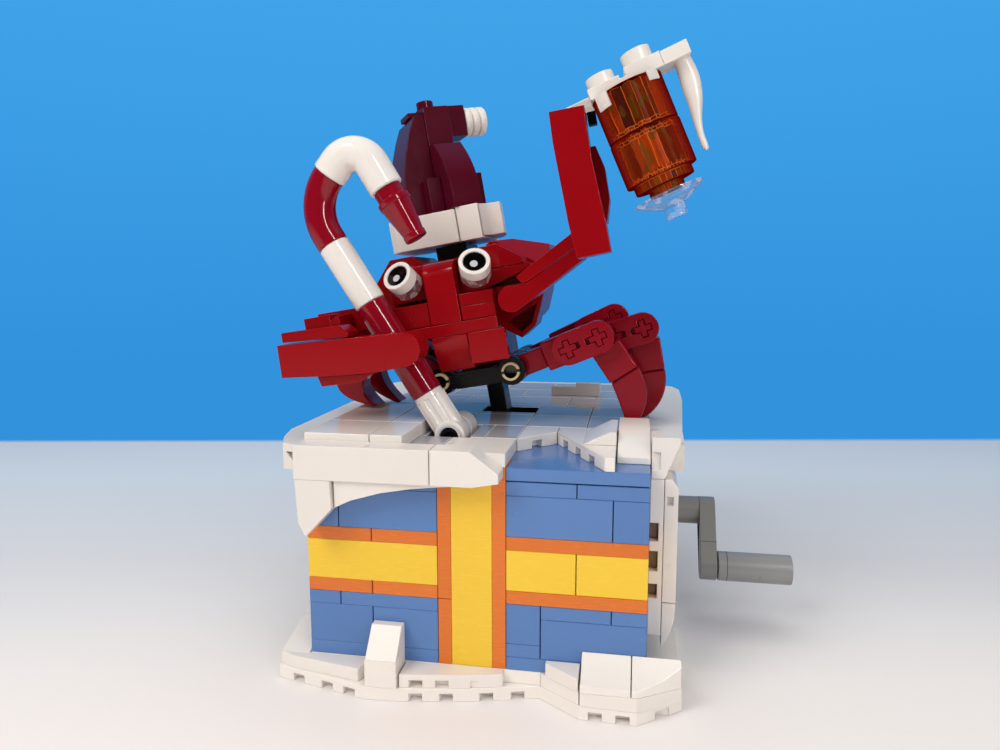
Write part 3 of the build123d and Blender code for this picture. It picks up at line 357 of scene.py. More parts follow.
def cleaned(mesh, node):
    # takes out what another piece stands for, joins flat triangles, and weighs the edges where the rounding
    # varies; returns the largest weight
    most = 1.0
    work = bmesh.new()
    work.from_mesh(mesh)
    if node in leftOut:
        gone = leftOut[node](np.array([v.co for v in work.verts]) / mm)
        bmesh.ops.delete(work, geom=[v for v, out in zip(work.verts, gone) if out], context="VERTS")
        bmesh.ops.holes_fill(work, edges=[e for e in work.edges if e.is_boundary])
    bmesh.ops.dissolve_limit(work, angle_limit=math.radians(edgeValues["flat"]), verts=work.verts,
                             edges=work.edges, delimit={"MATERIAL"})
    if node in partRound:
        amount = work.verts.layers.float["ease"]
        weight = work.edges.layers.float.new("bevel_weight_edge")
        most = max(v[amount] for v in work.verts)
        for edge in work.edges:
            if edge.is_manifold and edge.calc_face_angle() > math.radians(edgeValues["angle"]):
                edge[weight] = edge.verts[0][amount] / most
    work.to_mesh(mesh)
    work.free()
    return most


def softened(node):
    # the node's own shape as one closed mesh for each solid, with rounded edges and a tone for each solid
    place, triangle, island = solidsOf(frame["nodes"][node].data)
    solids = int(island.max()) + 1
    sums = [np.bincount(island, place[triangle, axis].mean(1)) for axis in range(3)]
    middles = np.stack(sums, axis=-1) / np.bincount(island)[:, None] / mm
    names = [finishOf[node]]
    painted = np.zeros(len(triangle), np.int32)
    if node in partFinish:
        test, finish = partFinish[node]
        painted[test(middles)[island]] = len(names)
        names.append(finish)
    used, index = np.unique(np.stack([np.repeat(island, 3), triangle.reshape(-1)], axis=1), axis=0,
                            return_inverse=True)
    mesh = bpy.data.meshes.new(node + "_soft")
    mesh.from_pydata(place[used[:, 1]].tolist(), [], index.reshape(-1, 3).tolist())
    mesh.polygons.foreach_set("material_index", painted)
    rounding = np.ones(solids)
    if node in partRound:
        rounding[partRound[node](middles)] = edgeValues["legWidth"] / edgeValues["width"]
    addValues(mesh, "ease", rounding[used[:, 0]])
    addValues(mesh, "tone", np.random.default_rng(len(node)).random(solids)[used[:, 0]])
    most = cleaned(mesh, node)
    mesh.shade_smooth()
    mesh.set_sharp_from_angle(angle=math.radians(edgeValues["angle"]))
    piece = bpy.data.objects.new(node + "_soft", mesh)
    bpy.context.scene.collection.objects.link(piece)
    bevel = piece.modifiers.new("edge", "BEVEL")
    bevel.width = edgeValues["width"] * most * mm
    bevel.segments = edgeValues["segments"]
    bevel.limit_method = "WEIGHT" if node in partRound else "ANGLE"
    bevel.angle_limit = math.radians(edgeValues["angle"])
    bevel.harden_normals = True
    bevel.use_clamp_overlap = False
    bevel.miter_outer = "MITER_SHARP"
    # rounded edges that take their own paler finish are painted highlights
    if node in edgeHighlightFinish:
        bevel.material = len(names)
        names.append(edgeHighlightFinish[node])
    for name in names:
        piece.data.materials.append(library[name])
    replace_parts(piece, node)
    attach(piece, bodyOf[node])


for node in finishOf:
    softened(node)
print("moulded pieces:", len(finishOf))


def surface(name, grids, finish, node, loop=False, smooth=40):
    # every grid of rings (ring, corner, xyz in mm) becomes one closed surface: each ring is joined to the
    # next one, and the first and last rings are filled, or joined to each other where the section is a loop
    verts, faces, start = [], [], 0
    for grid in grids:
        rings, corners = grid.shape[:2]
        index = np.arange(rings * corners).reshape(rings, corners) + start
        here, there = (index, np.roll(index, -1, 0)) if loop else (index[:-1], index[1:])
        quads = np.stack([here, np.roll(here, -1, 1), np.roll(there, -1, 1), there], -1)
        faces += quads.reshape(-1, 4).tolist()
        if not loop:
            faces += [index[0][::-1].tolist(), index[-1].tolist()]
        verts.append(grid.reshape(-1, 3) * mm)
        start += rings * corners
    mesh = bpy.data.meshes.new(name)
    mesh.from_pydata(np.concatenate(verts).tolist(), [], faces)
    work = bmesh.new()
    work.from_mesh(mesh)
    bmesh.ops.recalc_face_normals(work, faces=work.faces)
    work.to_mesh(mesh)
    work.free()
    addValues(mesh, "tone", np.full(len(mesh.vertices), 0.5))
    mesh.shade_smooth()
    mesh.set_sharp_from_angle(angle=math.radians(smooth))
    piece = bpy.data.objects.new(name, mesh)
    bpy.context.scene.collection.objects.link(piece)
    mesh.materials.append(library[finish])
    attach(piece, bodyOf[node])
    return piece


def eased(profile, radius, steps=4, closed=False):
    # each inner corner of a profile gives way to a curve between p and q, a radius before and after it:
    # (1-t)(1-t) p + 2t(1-t) corner + tt q
    points = np.array(profile, float)
    count = len(points)
    t = np.linspace(0, 1, steps)[:, None]
    out = [] if closed else [points[0]]
    for i in range(0 if closed else 1, count if closed else count - 1):
        before, at, after = points[i - 1], points[i], points[(i + 1) % count]
        r = min(radius, 0.45 * np.linalg.norm(before - at), 0.45 * np.linalg.norm(after - at))
        p = at + (before - at) / np.linalg.norm(before - at) * r
        q = at + (after - at) / np.linalg.norm(after - at) * r
        out += list((1 - t) ** 2 * p + 2 * t * (1 - t) * at + t * t * q)
    return np.array(out if closed else out + [points[-1]])


def turned(profile, axis, centre, corners=48):
    # radius and height pairs spun about an axis: (r cos t, r sin t, h), laid along X, Y or Z through a centre
    t = np.linspace(0, 2 * np.pi, corners, endpoint=False)
    profile = np.asarray(profile, float)
    r, h = profile[:, :1], profile[:, 1:]
    flat = {"x": (h + 0 * t, r * np.cos(t), r * np.sin(t)), "y": (r * np.cos(t), h + 0 * t, r * np.sin(t)),
            "z": (r * np.cos(t), r * np.sin(t), h + 0 * t)}[axis]
    return np.stack(flat, axis=-1) + np.array(centre, float)


def swept(path, across, deep, y, corners=40):
    # flat path (x, z) carrying an oval: centre + across cos t times the path's normal + deep sin t along Y
    path = np.asarray(path, float)
    along = np.gradient(path, axis=0)
    along /= np.linalg.norm(along, axis=1)[:, None]
    t = np.linspace(0, 2 * np.pi, corners, endpoint=False)
    a = np.broadcast_to(np.asarray(across, float).reshape(len(path), -1), (len(path), corners)) * np.cos(t)
    b = np.broadcast_to(np.asarray(deep, float).reshape(len(path), -1), (len(path), corners)) * np.sin(t)
    return np.stack([path[:, :1] - a * along[:, 1:], y + b, path[:, 1:] + a * along[:, :1]], axis=-1)


def boxGrid(low, high, ease=0.12):
    # box as four rings along Y, the first and last pulled in by the ease
    (x0, y0, z0), (x1, y1, z1) = low, high
    rings = []
    for y, e in ((y0, ease), (y0 + ease, 0), (y1 - ease, 0), (y1, ease)):
        rings.append([(x0 + e, y, z0 + e), (x1 - e, y, z0 + e), (x1 - e, y, z1 - e), (x0 + e, y, z1 - e)])
    return np.array(rings)


# candy cane in its own plane (x, z): a straight run from the hinge, a wide bend, a short run, a tight bend
# and the plug in its end. Angles are in degrees, and ends are where the lower tubes meet on the straight run
caneValues = dict(y=-35.65, radius=4.0, foot=(-9.0, 57.4), lean=122.8, straight=58.8,
                  ends=(12.15, 38.9, 56.3), wide=13.0, seam=142.0, run=3.8, tight=5.45, hook=31.5, drop=7.1,
                  elbow=4.35, gap=0.05, ease=0.25, neck=3.7, flange=4.3, flutes=8, fluteDeep=0.42, hole=2.45,
                  boss=3.9)


def facing(angle):
    # one step in a direction of the cane's plane: (cos t, sin t)
    return np.array([math.cos(math.radians(angle)), math.sin(math.radians(angle))])


def bendPath(centre, radius, start, end, steps):
    # arc: centre + radius (cos t, sin t)
    t = np.radians(np.linspace(start, end, steps))[:, None]
    return centre + radius * np.concatenate([np.cos(t), np.sin(t)], axis=1)


def straightPath(*distances):
    # points at some distances from the foot along the straight run
    return np.array(caneValues["foot"]) + np.array(distances)[:, None] * facing(caneValues["lean"])


def tube(path, ease=caneValues["ease"], radius=caneValues["radius"]):
    # round tube with eased ends: the first and last steps are pulled in to a smaller ring
    path = np.asarray(path, float)
    lead = path[0] + (path[1] - path[0]) / np.linalg.norm(path[1] - path[0]) * ease
    tail = path[-1] + (path[-2] - path[-1]) / np.linalg.norm(path[-2] - path[-1]) * ease
    path = np.concatenate([path[:1], [lead], path[1:-1], [tail], path[-1:]])
    radii = np.full(len(path), radius)
    radii[[0, -1]] -= ease
    return swept(path, radii, radii, caneValues["y"])


def hooked(profile, start, way):
    # radius and distance pairs spun about a line of the plane:
    # start + distance way + r cos t across it + r sin t along Y
    profile = np.asarray(profile, float)
    path = start + profile[:, 1:] * way
    t = np.linspace(0, 2 * np.pi, 40, endpoint=False)
    a, b = profile[:, :1] * np.cos(t), profile[:, :1] * np.sin(t)
    return np.stack([path[:, :1] - a * way[1], caneValues["y"] + b, path[:, 1:] + a * way[0]], axis=-1)


def flutedTube(end):
    # lowest white tube: its radius is cut by a groove wherever cos(flutes t) is positive
    v = caneValues
    t = np.linspace(0, 2 * np.pi, 96, endpoint=False)
    groove = v["radius"] - v["fluteDeep"] * np.clip(np.cos(t * v["flutes"]) * 1.4, 0, 1) ** 0.6
    plain = [np.full(len(t), radius) for radius in (3.7, 3.97, 3.75)]
    radii = np.stack([plain[0], groove, groove, groove, plain[1], plain[2]])
    return swept(straightPath(1.2, 2.6, 6.0, 10.6, 10.9, end), radii, radii, v["y"], len(t))


def makeCane():
    v = caneValues
    low, middle, high = v["ends"]
    gap = v["gap"]
    wideAt = straightPath(v["straight"])[0] + v["wide"] * facing(v["lean"] - 90)
    seamAt = wideAt + v["wide"] * facing(v["seam"])
    tightAt = seamAt + v["run"] * facing(v["seam"] - 90) - v["tight"] * facing(v["seam"])
    hookWay = facing(v["hook"] - 90)
    hookAt = tightAt + v["tight"] * facing(v["hook"]) + v["drop"] * hookWay
    redBend = np.concatenate([straightPath(high + gap, v["straight"] - 0.6),
                              bendPath(wideAt, v["wide"], v["lean"] + 90, v["seam"] + 0.2, 28)])
    plug = eased([(0.05, 0.1), (v["neck"], 0.1), (v["neck"], 2.85), (v["flange"], 2.95), (v["flange"], 4.35),
                  (4.05, 4.45), (2.8, 12.5), (2.75, 12.7), (2.95, 12.8), (2.95, 14.25), (0.05, 14.25)], 0.3)
    redParts = [tube(straightPath(low + gap, middle - gap)), tube(redBend), hooked(plug, hookAt, hookWay)]
    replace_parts(surface("caneRed", redParts, "caneRed", "cane_red"), "cane_red")
    elbow = np.concatenate([seamAt[None] + 0.08 * facing(v["seam"] - 90),
                            bendPath(tightAt, v["tight"], v["seam"], v["hook"], 34), hookAt[None]])
    whiteRun = straightPath(*np.linspace(middle + gap, high - gap, 4))
    whiteParts = [flutedTube(low - gap), tube(whiteRun), tube(elbow, 0.3, v["elbow"])]
    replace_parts(surface("caneWhite", whiteParts, "whiteGloss", "cane_white"), "cane_white")


def makeCaneFoot():
    # white eye of the lowest tube, the black pin through it and the grey collar on the pin's end
    x, z = caneValues["foot"]
    hole, boss = caneValues["hole"], caneValues["boss"]
    eye = eased([(hole, -39.6), (hole, -31.8), (boss, -31.8), (boss, -39.6)], 0.35, closed=True)
    surface("caneEye", [turned(eye, "y", (x, 0, z))], "snow", "cane_white", loop=True)
    pin = eased([(0.05, -38.9), (1.0, -38.9), (1.1, -39.4), (2.3, -39.6), (2.38, -24.4), (0.05, -24.4)], 0.15)
    piece = surface("caneFootPin", [turned(pin, "y", (x, 0, z))], "black", "cane_foot_pin")
    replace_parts(piece, "cane_foot_pin")
    collar = eased([(2.42, -40.4), (2.42, -39.65), (3.05, -39.65), (3.05, -40.4)], 0.2, closed=True)
    surface("caneFootCollar", [turned(collar, "y", (x, 0, z))], "paleGrey", "cane_foot_pin", loop=True)


# eyes: a white ring, a black glossy pupil and a small pale spot on it; each side is (x, yaw)
eyeValues = dict(sides=((-8.9, -12), (9.4, 12)), ring=(2.85, 4.0), front=-5.2, back=-2.0, pupil=2.82,
                 pupilFront=-5.02, spot=0.98, spotAt=(-0.15, 0, -0.75))


def makeEyes():
    v = eyeValues
    inner, outer = v["ring"]
    ring = eased([(inner, -4.4), (inner + 0.12, v["front"]), (outer, v["front"]), (outer, -4.4),
                  (outer, v["back"]), (inner, v["back"])], 0.22, closed=True)
    pupil = eased([(0.05, v["pupilFront"]), (v["pupil"] - 0.12, v["pupilFront"]),
                   (v["pupil"], v["pupilFront"] + 0.12), (v["pupil"], v["back"]), (0.05, v["back"])], 0.1)
    spot = eased([(0.05, -5.1), (v["spot"], -5.1), (v["spot"], -4.9), (0.05, -4.9)], 0.06)

    def pair(profile, at=(0, 0, 0), corners=48):
        return [eyePlace(turned(profile, "y", at, corners), *side) for side in v["sides"]]

    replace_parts(surface("eyeRings", pair(ring, corners=64), "snow", "eye_rings", loop=True), "eye_rings")
    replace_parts(surface("eyePupils", pair(pupil), "pupil", "eye_pupils"), "eye_pupils")
    surface("eyeSpots", pair(spot, v["spotAt"], 32), "paleGrey", "eye_pupils")


# hip pins: hollow tan pins; the black cup lining the hollow and the two black notches across the rim are
# painted shade
hipValues = dict(across=9.6, height=29.2, radius=2.4, hollow=1.75, front=-27.6, back=10.6, deep=2.4,
                 notchAt=2.0)


def makeHipPins():
    v = hipValues
    end, floor = v["front"], v["front"] + v["deep"]
    hips = [(side * v["across"], 0, v["height"]) for side in (-1, 1)]
    wall = eased([(0.05, floor), (v["hollow"], floor), (v["hollow"], end), (v["radius"], end),
                  (v["radius"], v["back"]), (0.05, v["back"])], 0.15)
    cup = eased([(0.05, floor - 0.02), (1.73, floor - 0.02), (1.74, end + 0.15), (1.64, end + 0.15),
                 (1.6, floor - 0.2), (0.05, floor - 0.2)], 0.05)
    notchAt = [(x + way * v["notchAt"], z) for x, y, z in hips for way in (-1, 1)]
    notches = [boxGrid((x - 0.5, end - 0.02, z - 0.4), (x + 0.5, end + 0.8, z + 0.4), 0.05)
               for x, z in notchAt]
    pins = surface("hipPins", [leaned(turned(wall, "y", hip)) for hip in hips], "tan", "hip_pins")
    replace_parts(pins, "hip_pins")
    # painted shade: the black cup in the hollow and the black notch blocks stand for the shade there
    dark = [turned(cup, "y", hip) for hip in hips] + notches
    surface("hipHollowShade", [leaned(grid) for grid in dark], "pupil", "hip_pins")


# cross-shaped pin ends in the leg links, a hair smaller than the holes they sit in
linkValues = dict(apart=8.0, half=2.4, wide=0.9, gap=0.17, face=3.68, inner=2.1, rim=0.1, ease=0.08)
legReach = {"leg_right_front": (1, -24.0, 24.0, 22.4), "leg_right_middle": (1, -11.6, 35.2, 17.7),
            "leg_right_rear": (1, 0.8, 28.5, 26.0), "leg_left_front": (-1, -24.0, 25.0, 31.0),
            "leg_left_middle": (-1, -11.6, 30.0, 27.0), "leg_left_rear": (-1, 0.8, 28.5, 29.0)}


def crossEnds(side, front, reach, rise):
    # a plus-shaped section on the link's own axes, carried along Y in three rings: its twelve corners are the
    # first three turned by each quarter
    v = linkValues
    hip = leaned(np.array([side * hipValues["across"], 0.0, hipValues["height"]]))
    way = np.array([side * math.cos(math.radians(rise)), 0, math.sin(math.radians(rise))])
    over = np.array([-way[2], 0, way[0]])
    grids = []
    for along in (reach - v["apart"], reach):
        rings = []
        for y, ease in ((v["face"] + v["rim"], v["ease"]), (v["face"], 0), (v["inner"], 0)):
            h = v["half"] - v["gap"] - ease
            w = v["wide"] - v["gap"] - ease
            corners = np.array([h - w * 1j, h + w * 1j, w + w * 1j])
            plus = (corners * 1j ** np.arange(4)[:, None]).reshape(-1, 1)
            rings.append(hip + (along + plus.real) * way + plus.imag * over + np.array([0, front - y, 0]))
        grids.append(np.array(rings))
    return grids


# painted shade in the slot that the stem swings in: four thin black walls just inside the deck
slotValues = dict(x=7.97, y=4.37, low=51.4, top=57.45, wall=0.12)


def makeSlotShade():
    x, y, wide = slotValues["x"], slotValues["y"], slotValues["wall"]
    plan = [((-x, -y), (x, wide - y)), ((-x, y - wide), (x, y)), ((-x, wide - y), (wide - x, y - wide)),
            ((x - wide, wide - y), (x, y - wide))]
    walls = [boxGrid((*low, slotValues["low"]), (*high, slotValues["top"]), 0.02) for low, high in plan]
    surface("slotShade", walls, "pupil", "deck_tiles")


# crank: a ring line near the grip's inner end and a seam line across the arm
crankValues = dict(gripAt=(62.1, -9.85, 16.99), gripRadius=4.0, axleHeight=29.6, armFrom=55.0, armTo=59.4,
                   armHalf=4.0, armTurn=38.0, seamAt=10.6, line=0.22, proud=0.03)


def makeCrankLines():
    v = crankValues
    half, out = v["line"] / 2, v["gripRadius"] + v["proud"]
    ring = [(v["gripRadius"] - 0.1, -half), (out, -half), (out, half), (v["gripRadius"] - 0.1, half)]
    surface("gripLine", [turned(ring, "x", v["gripAt"], 72)], "seamGrey", "crank_grip", loop=True)
    wide = v["armHalf"] + v["proud"]
    seam = boxGrid((v["armFrom"] - v["proud"], -wide, -v["seamAt"] - half),
                   (v["armTo"] + v["proud"], wide, -v["seamAt"] + half), 0.02)
    y, z = spun(seam[..., 1], seam[..., 2], -v["armTurn"])
    surface("armSeam", [np.stack([seam[..., 0], y, z + v["axleHeight"]], -1)], "seamGrey", "crank_arm")


# bobble: three round plates with narrow necks between them, laid along the hat's X
bobbleValues = dict(discs=((9.15, 11.2), (11.45, 13.5), (13.75, 15.85)), radius=4.1, neck=3.3, slope=0.12,
                    at=(0, 2.8, 100.8), ease=0.42)


def makeBobble():
    v = bobbleValues
    edges = [(0.05, v["discs"][0][0])]
    for near, far in v["discs"]:
        edges += [(v["neck"], near), (v["radius"], near + v["slope"]), (v["radius"], far - v["slope"]),
                  (v["neck"], far)]
    profile = eased(edges + [(0.05, v["discs"][-1][1])], v["ease"])
    bobble = surface("bobble", [hatPlace(turned(profile, "x", v["at"]))], "snow", "hat_bobble")
    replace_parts(bobble, "hat_bobble")


# mug: two clear amber round bricks (bottom, top, radius) with ribs inside, and a step and a foot below them.
# Heights go down from the rim; seam and footLine are bands of small detail; unroll scales turn and height
mugValues = dict(upper=(-9.9, 0.0, 7.7), lower=(-20.0, -10.1, 7.8), step=(-22.0, 6.5), foot=(-23.7, 3.9),
                 wall=0.8, middle=0.3, ribs=12, seam=10.0, footLine=19.286, unroll=(2.2, 0.35))
amberValues = dict(base=(150, 34, 8), deep=(92, 4, 8), rimToDeep=1.7, rimToCover=2.8, cover=-0.16)
insideValues = dict(large=dict(size=(0.78, 3.5, 0.024), tints=((192, 68, 14), (54, 14, 6), (250, 122, 36))),
                    small=dict(size=(0.36, 0.23, 0.026), tints=((206, 58, 16), (58, 6, 6), (255, 140, 50))),
                    sway=(0.16, 0.10, 0.0), olive=(98, 74, 14), dusk=(84, 16, 6), paintedGlow=0.2)


def amberGlass(name):
    # amber that is thin where it faces the eye, and dense and dark red along its edges
    v = amberValues
    finish = Finish(name)
    rim = finish.rim(0.35)
    streak = finish.noise(90.0, 2.0, stretch=(1.0, 1.0, 0.35))
    depth = finish.clamp(rim * v["rimToDeep"] - 0.3 + streak * 0.3)
    return finish.set(Base_Color=finish.mix(depth, colour(*v["base"]), colour(*v["deep"])),
                      Roughness=streak * 0.05 + 0.03, Alpha=finish.clamp(rim * v["rimToCover"] + v["cover"]),
                      Specular_IOR_Level=0.0)


def amberInside(name):
    # what shows through the amber: upright panels with thin bright edges, olive patches, and two busy bands.
    # The thin bright edges are painted highlights, and the faint glow in its own colours is painted light
    v = insideValues
    finish = Finish(name)
    uv = finish.node("ShaderNodeAttribute", {"attribute_name": "turnHeight"}, out="Vector")
    bend = finish.node("ShaderNodeTexNoise", {}, {"Vector": uv, "Scale": 0.9, "Detail": 1.0}, "Color")
    bent = finish.node("ShaderNodeVectorMath", {"operation": "MULTIPLY_ADD"}, {0: bend, 1: v["sway"], 2: uv},
                       "Vector")

    def panels(size, tints):
        wide, tall, line = size
        first, second, edge = [colour(*tint) for tint in tints]
        return finish.node("ShaderNodeTexBrick", {"offset": 0.37, "squash": 0.6, "squash_frequency": 3},
                           {"Vector": bent, "Color1": first, "Color2": second, "Mortar": edge, "Scale": 1.0,
                            "Mortar Size": line, "Brick Width": wide, "Row Height": tall}, "Color")

    olive = finish.noise(0.8, stretch=(1.6, 0.8, 1.0), where=uv)
    tint = finish.mix((olive > 0.55) * 0.7, panels(**v["large"]), colour(*v["olive"]))
    height = finish.node("ShaderNodeSeparateXYZ", {}, {0: uv}, 1)
    seam, foot = [(height + mugValues[band] * mugValues["unroll"][1]).size() for band in ("seam", "footLine")]
    tint = finish.mix((seam < 0.5).most(foot < 0.22) * 0.85, tint, panels(**v["small"]))
    tint = finish.mix(finish.noise(0.5, where=uv) * 0.6, tint, colour(*v["dusk"]))
    # painted light: the inside glows faintly in its own colours
    return finish.set(Base_Color=tint, Roughness=olive * 0.2 + 0.3, Specular_IOR_Level=0.05,
                      Emission_Color=tint, Emission_Strength=v["paintedGlow"])


def ribbedWall(low, high, radius):
    # wall with a rib pushed out every thirty degrees: r = radius - 0.9 + 0.5 cos(ribs t), cut to flat crests
    t = np.linspace(0, 2 * np.pi, 96, endpoint=False)
    bulge = radius - 0.9 + 0.5 * np.clip(np.cos(t * mugValues["ribs"]) * 3, -1, 1)
    h = np.linspace(low, high, 12)[:, None]
    x, y = mugValues["middle"] + bulge * np.cos(t), bulge * np.sin(t)
    return np.stack([x + 0 * h, y + 0 * h, h + 0 * t], axis=-1)


def makeMug():
    v = mugValues
    library["amberShell"] = amberGlass("amberShell")
    library["amberInside"] = amberInside("amberInside")
    (lowU, highU, radiusU), (lowL, highL, radiusL) = v["upper"], v["lower"]
    (stepLow, stepRadius), (footLow, footRadius) = v["step"], v["foot"]
    middle = (v["middle"], 0, 0)
    shells = [eased([(0.05, lowU), (radiusU, lowU), (radiusU, highU), (0.05, highU)], 0.35),
              eased([(0.05, footLow), (footRadius, footLow), (footRadius, stepLow), (stepRadius, stepLow),
                     (stepRadius, lowL), (radiusL, lowL), (radiusL, highL), (0.05, highL)], 0.3)]
    grids = [mugPlace(turned(profile, "z", middle, 72)) for profile in shells]
    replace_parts(surface("mugShell", grids, "amberShell", "mug_glass"), "mug_glass")
    footCore = eased([(0.05, -23.4), (3.3, -23.2), (3.5, -21.9), (5.7, -21.7), (5.8, -20.1), (0.05, -20.1)],
                     0.2)
    grids = [ribbedWall(lowL + 0.1, highL - 0.06, radiusL - v["wall"]),
             ribbedWall(lowU + 0.06, highU - 0.2, radiusU - v["wall"]), turned(footCore, "z", middle)]
    inside = surface("mugInside", [mugPlace(grid) for grid in grids], "amberInside", "mug_glass")
    flat = np.concatenate([grid.reshape(-1, 3) for grid in grids])
    around = np.arctan2(flat[:, 1], flat[:, 0] - v["middle"])
    unrolled = np.stack([around * v["unroll"][0], flat[:, 2] * v["unroll"][1], 0 * around], axis=-1)
    wrap = inside.data.attributes.new("turnHeight", "FLOAT_VECTOR", "POINT")
    wrap.data.foreach_set("vector", unrolled.astype(np.float32).ravel())


# handle: a horn along a line of (height from the rim, distance out, half width), flattened to a largest depth
hornValues = dict(line=((0.35, 12.82, 1.8), (-0.3, 12.85, 1.85), (-2.5, 12.95, 2.05), (-4.5, 12.82, 2.08),
                        (-6.4, 12.58, 1.92), (-8.1, 12.3, 1.7), (-9.7, 11.9, 1.4), (-11.0, 11.55, 1.15),
                        (-12.8, 11.15, 0.88), (-14.4, 10.88, 0.72), (-16.0, 10.72, 0.68), (-17.3, 10.72, 0.7),
                        (-18.2, 10.76, 0.62), (-18.7, 10.8, 0.42), (-18.88, 10.8, 0.1)),
                  rings=60, smoothing=3, deep=1.65)


def makeHorn():
    # the line's values are spread over even rings and smoothed: each becomes (before + 2 own + after) / 4
    shape = np.array(hornValues["line"])
    fine, key = np.linspace(0, 1, hornValues["rings"]), np.linspace(0, 1, len(shape))
    rings = np.stack([np.interp(fine, key, column) for column in shape.T], axis=-1)
    for turn in range(hornValues["smoothing"]):
        rings[1:-1] = (rings[:-2] + 2 * rings[1:-1] + rings[2:]) / 4
    height, out, half = rings.T
    grid = swept(np.stack([out, height], axis=-1), half, np.minimum(hornValues["deep"], half * 0.95), 0.0, 36)
    surface("mugHorn", [mugPlace(grid)], "snow", "mug_foam")


# white tabs of the lid outside the glass (from angle, to angle, drop), and the lid's arm behind them
lidValues = dict(tabs=((-150, -124, 3.1), (-56, -34, 2.0)), skin=(7.72, 8.02), armLow=(-15.6, 6.5, 1.6),
                 armHigh=(-7.3, 9.7, 3.4))


def tabGrid(start, end, drop):
    # short curved strip under the lid: (r cos t, r sin t) between two angles, thinner at its lower edge
    t = np.radians(np.linspace(start, end, 7))
    low, high = lidValues["skin"]
    rings = []
    for h, outer in ((0.1, high), (0.15 - drop, high), (-drop, high - 0.12)):
        outside, inside = [np.stack([mugValues["middle"] + r * np.cos(t), r * np.sin(t), h + 0 * t], axis=-1)
                           for r in (outer, low)]
        rings.append(np.concatenate([outside, inside[::-1]]))
    return np.array(rings)


def makeLidTabs():
    grids = [tabGrid(*tab) for tab in lidValues["tabs"]]
    grids.append(boxGrid(lidValues["armLow"], lidValues["armHigh"], 0.25))
    surface("lidTabs", [mugPlace(grid) for grid in grids], "snow", "mug_foam")


makeCane()
makeCaneFoot()
makeEyes()
makeHipPins()
for leg, values in legReach.items():
    surface("crossPins_" + leg[4:], crossEnds(*values), "legRed", leg)
makeSlotShade()
makeCrankLines()
makeBobble()
makeMug()
makeHorn()
makeLidTabs()
print("turned pieces made")

# stage, camera and light: lengths in metres, power in watts, floor as (distance from the camera, tint); the
# floor tints are painted light, pale near the camera and bluer far off where the backdrop's blue spills
cameraValues = dict(at=(0.0358, -0.2173, 0.0971), yaw=10.19, pitch=-7.56, roll=0.09, lens=27.0, sensor=36.0)
stageValues = dict(reach=0.440, blur=0.008, half=1.4, near=0.9, sink=2e-5,
                   floor=((0.10, (248, 241, 238)), (0.17, (240, 235, 233)), (0.21, (226, 226, 229)),
                          (0.25, (216, 219, 226)), (0.31, (212, 221, 233)), (0.36, (212, 227, 243)),
                          (0.43, (208, 223, 243))),
                   high=(66, 165, 234), low=(50, 146, 220), room=(30, 29, 30), mirrored=0.6)
worldValues = dict(light=(1.0, 0.985, 0.97, 1.0), strength=0.38)
lampValues = {
    "key": dict(at=(-0.34, -0.46, 0.52), size=0.34, power=2.5, tint=(1.0, 0.98, 0.95)),
    "spark": dict(at=(0.42, -0.50, 0.32), size=0.6, wide=0.045, along=(-0.54, 0.0, 0.84), power=3.4,
                  tint=(1.0, 0.99, 0.97), onlyGloss=True),
    "gleam": dict(at=(-0.30, -0.50, 0.70), size=0.12, power=1.0, tint=(1.0, 0.99, 0.97), onlyGloss=True),
    "fill": dict(at=(0.40, -0.52, 0.34), size=0.45, power=1.25, tint=(0.98, 0.98, 1.0)),
    "over": dict(at=(0.02, 0.04, 0.62), size=0.50, power=1.15, tint=(1.0, 1.0, 1.0)),
}


def seenFloor():
    # flat sheet from behind the camera to a straight far edge across the view, turned about the camera's foot
    v = stageValues
    turn = math.radians(cameraValues["yaw"])
    ahead = np.array([-math.sin(turn), math.cos(turn)])
    across = np.array([math.cos(turn), math.sin(turn)])
    foot = np.array(cameraValues["at"][:2])
    plan = ((-1, -v["near"]), (1, -v["near"]), (1, v["reach"]), (-1, v["reach"]))
    corners = [foot + side * v["half"] * across + along * ahead for side, along in plan]
    mesh = bpy.data.meshes.new("floor")
    mesh.from_pydata([(x, y, -v["sink"]) for x, y in corners], [], [(0, 1, 2, 3)])
    sheet = bpy.data.objects.new("floor", mesh)
    bpy.context.scene.collection.objects.link(sheet)
    paper = Finish("floorPaper")
    reach = paper.node("ShaderNodeVectorMath", {"operation": "DOT_PRODUCT"},
                       {0: paper.place, 1: (ahead[0], ahead[1], 0.0)}, "Value") - float(foot @ ahead)
    last = v["floor"][-1][0]
    # painted light: the floor's tint runs from warm pale near the camera to blue far off, the backdrop's blue
    # light spilling onto it
    stops = [(distance / last, colour(*tint)) for distance, tint in v["floor"]]
    tint = paper.node("ShaderNodeValToRGB", {"stops": stops}, {"Fac": reach / last})
    speckled = paper.mix(paper.noise(700.0, 2.0) * 0.06, tint, colour(205, 205, 205))
    paper.set(Base_Color=speckled, Roughness=0.6, Specular_IOR_Level=0.12,
              Alpha=paper.clamp((v["reach"] - reach) / v["blur"]))
    mesh.materials.append(paper.material)


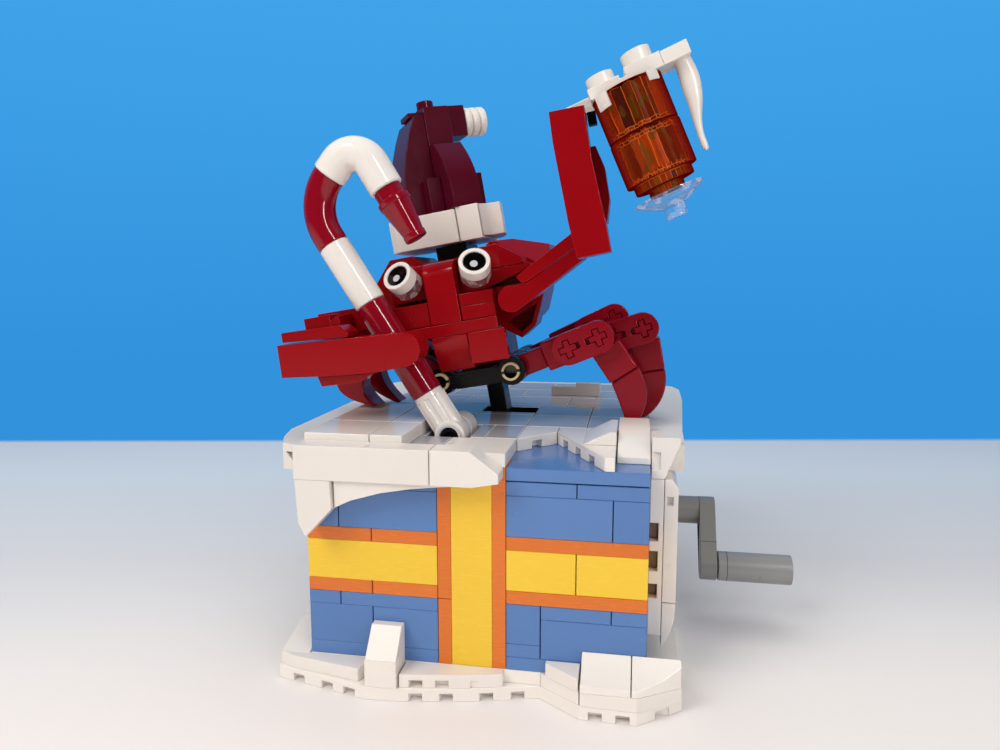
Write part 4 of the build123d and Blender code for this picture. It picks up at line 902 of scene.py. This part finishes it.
def studioWorld():
    # pale light for matt surfaces; the eye sees a blue backdrop, and gloss sees it dimmed, with a dark room
    # in front
    v = stageValues
    world = bpy.data.worlds.new("studio")
    bpy.context.scene.world = world
    world.use_nodes = True
    sky = Nodes(world.node_tree)
    light = sky.tree.nodes["Background"]
    light.inputs["Color"].default_value = worldValues["light"]
    light.inputs["Strength"].default_value = worldValues["strength"]
    where = sky.node("ShaderNodeTexCoord", out="Generated")
    back, up = [sky.node("ShaderNodeSeparateXYZ", {}, {0: where}, axis) for axis in (1, 2)]
    eye, through, gloss = [sky.node("ShaderNodeLightPath", out=ray)
                           for ray in ("Is Camera Ray", "Is Transmission Ray", "Is Glossy Ray")]
    blue = sky.mix((up + 0.10) / 0.46, colour(*v["low"]), colour(*v["high"]))
    dimmed = sky.mix(1 - v["mirrored"], blue, colour(0, 0, 0))
    room = sky.mix((back + 0.25) / 0.5, colour(*v["room"]), dimmed)
    seen = sky.node("ShaderNodeBackground", {}, {"Color": sky.mix(gloss, blue, room)})
    join = sky.node("ShaderNodeMixShader", {},
                    {0: eye.most(through).most(gloss), 1: Wire(sky.tree, light.outputs[0]), 2: seen})
    plug(sky.tree, sky.tree.nodes["World Output"].inputs["Surface"], join)


def softBox(name, at, size, power, tint, wide=None, along=(1.0, 0.0, 0.0), onlyGloss=False):
    # area lamp that faces the middle of the object, its long side along a direction
    lamp = bpy.data.lights.new(name, "AREA")
    lamp.shape = "RECTANGLE"
    lamp.size = size
    lamp.size_y = wide or size
    lamp.energy = power
    lamp.color = tint
    back = (Vector(at) - Vector((0, 0, 0.07))).normalized()
    side = Vector(along)
    side = (side - side.dot(back) * back).normalized()
    stand = Matrix((side, back.cross(side), back)).transposed().to_4x4()
    stand.translation = at
    holder = bpy.data.objects.new(name, lamp)
    holder.matrix_world = stand
    holder.visible_glossy = onlyGloss
    holder.visible_diffuse = not onlyGloss
    bpy.context.scene.collection.objects.link(holder)


def seenFrom():
    v = cameraValues
    camera = bpy.data.objects.new("camera", bpy.data.cameras.new("camera"))
    camera.data.lens = v["lens"]
    camera.data.sensor_width = v["sensor"]
    camera.data.clip_start = 0.005
    camera.location = v["at"]
    turns = (90 + v["pitch"], v["roll"], v["yaw"])
    camera.rotation_euler = Euler([math.radians(turn) for turn in turns], "XYZ")
    bpy.context.scene.collection.objects.link(camera)
    bpy.context.scene.camera = camera


seenFloor()
studioWorld()
for name, values in lampValues.items():
    softBox(name, **values)
seenFrom()
bpy.context.scene.view_settings.view_transform = "Standard"
print("stage, lamps and camera set")
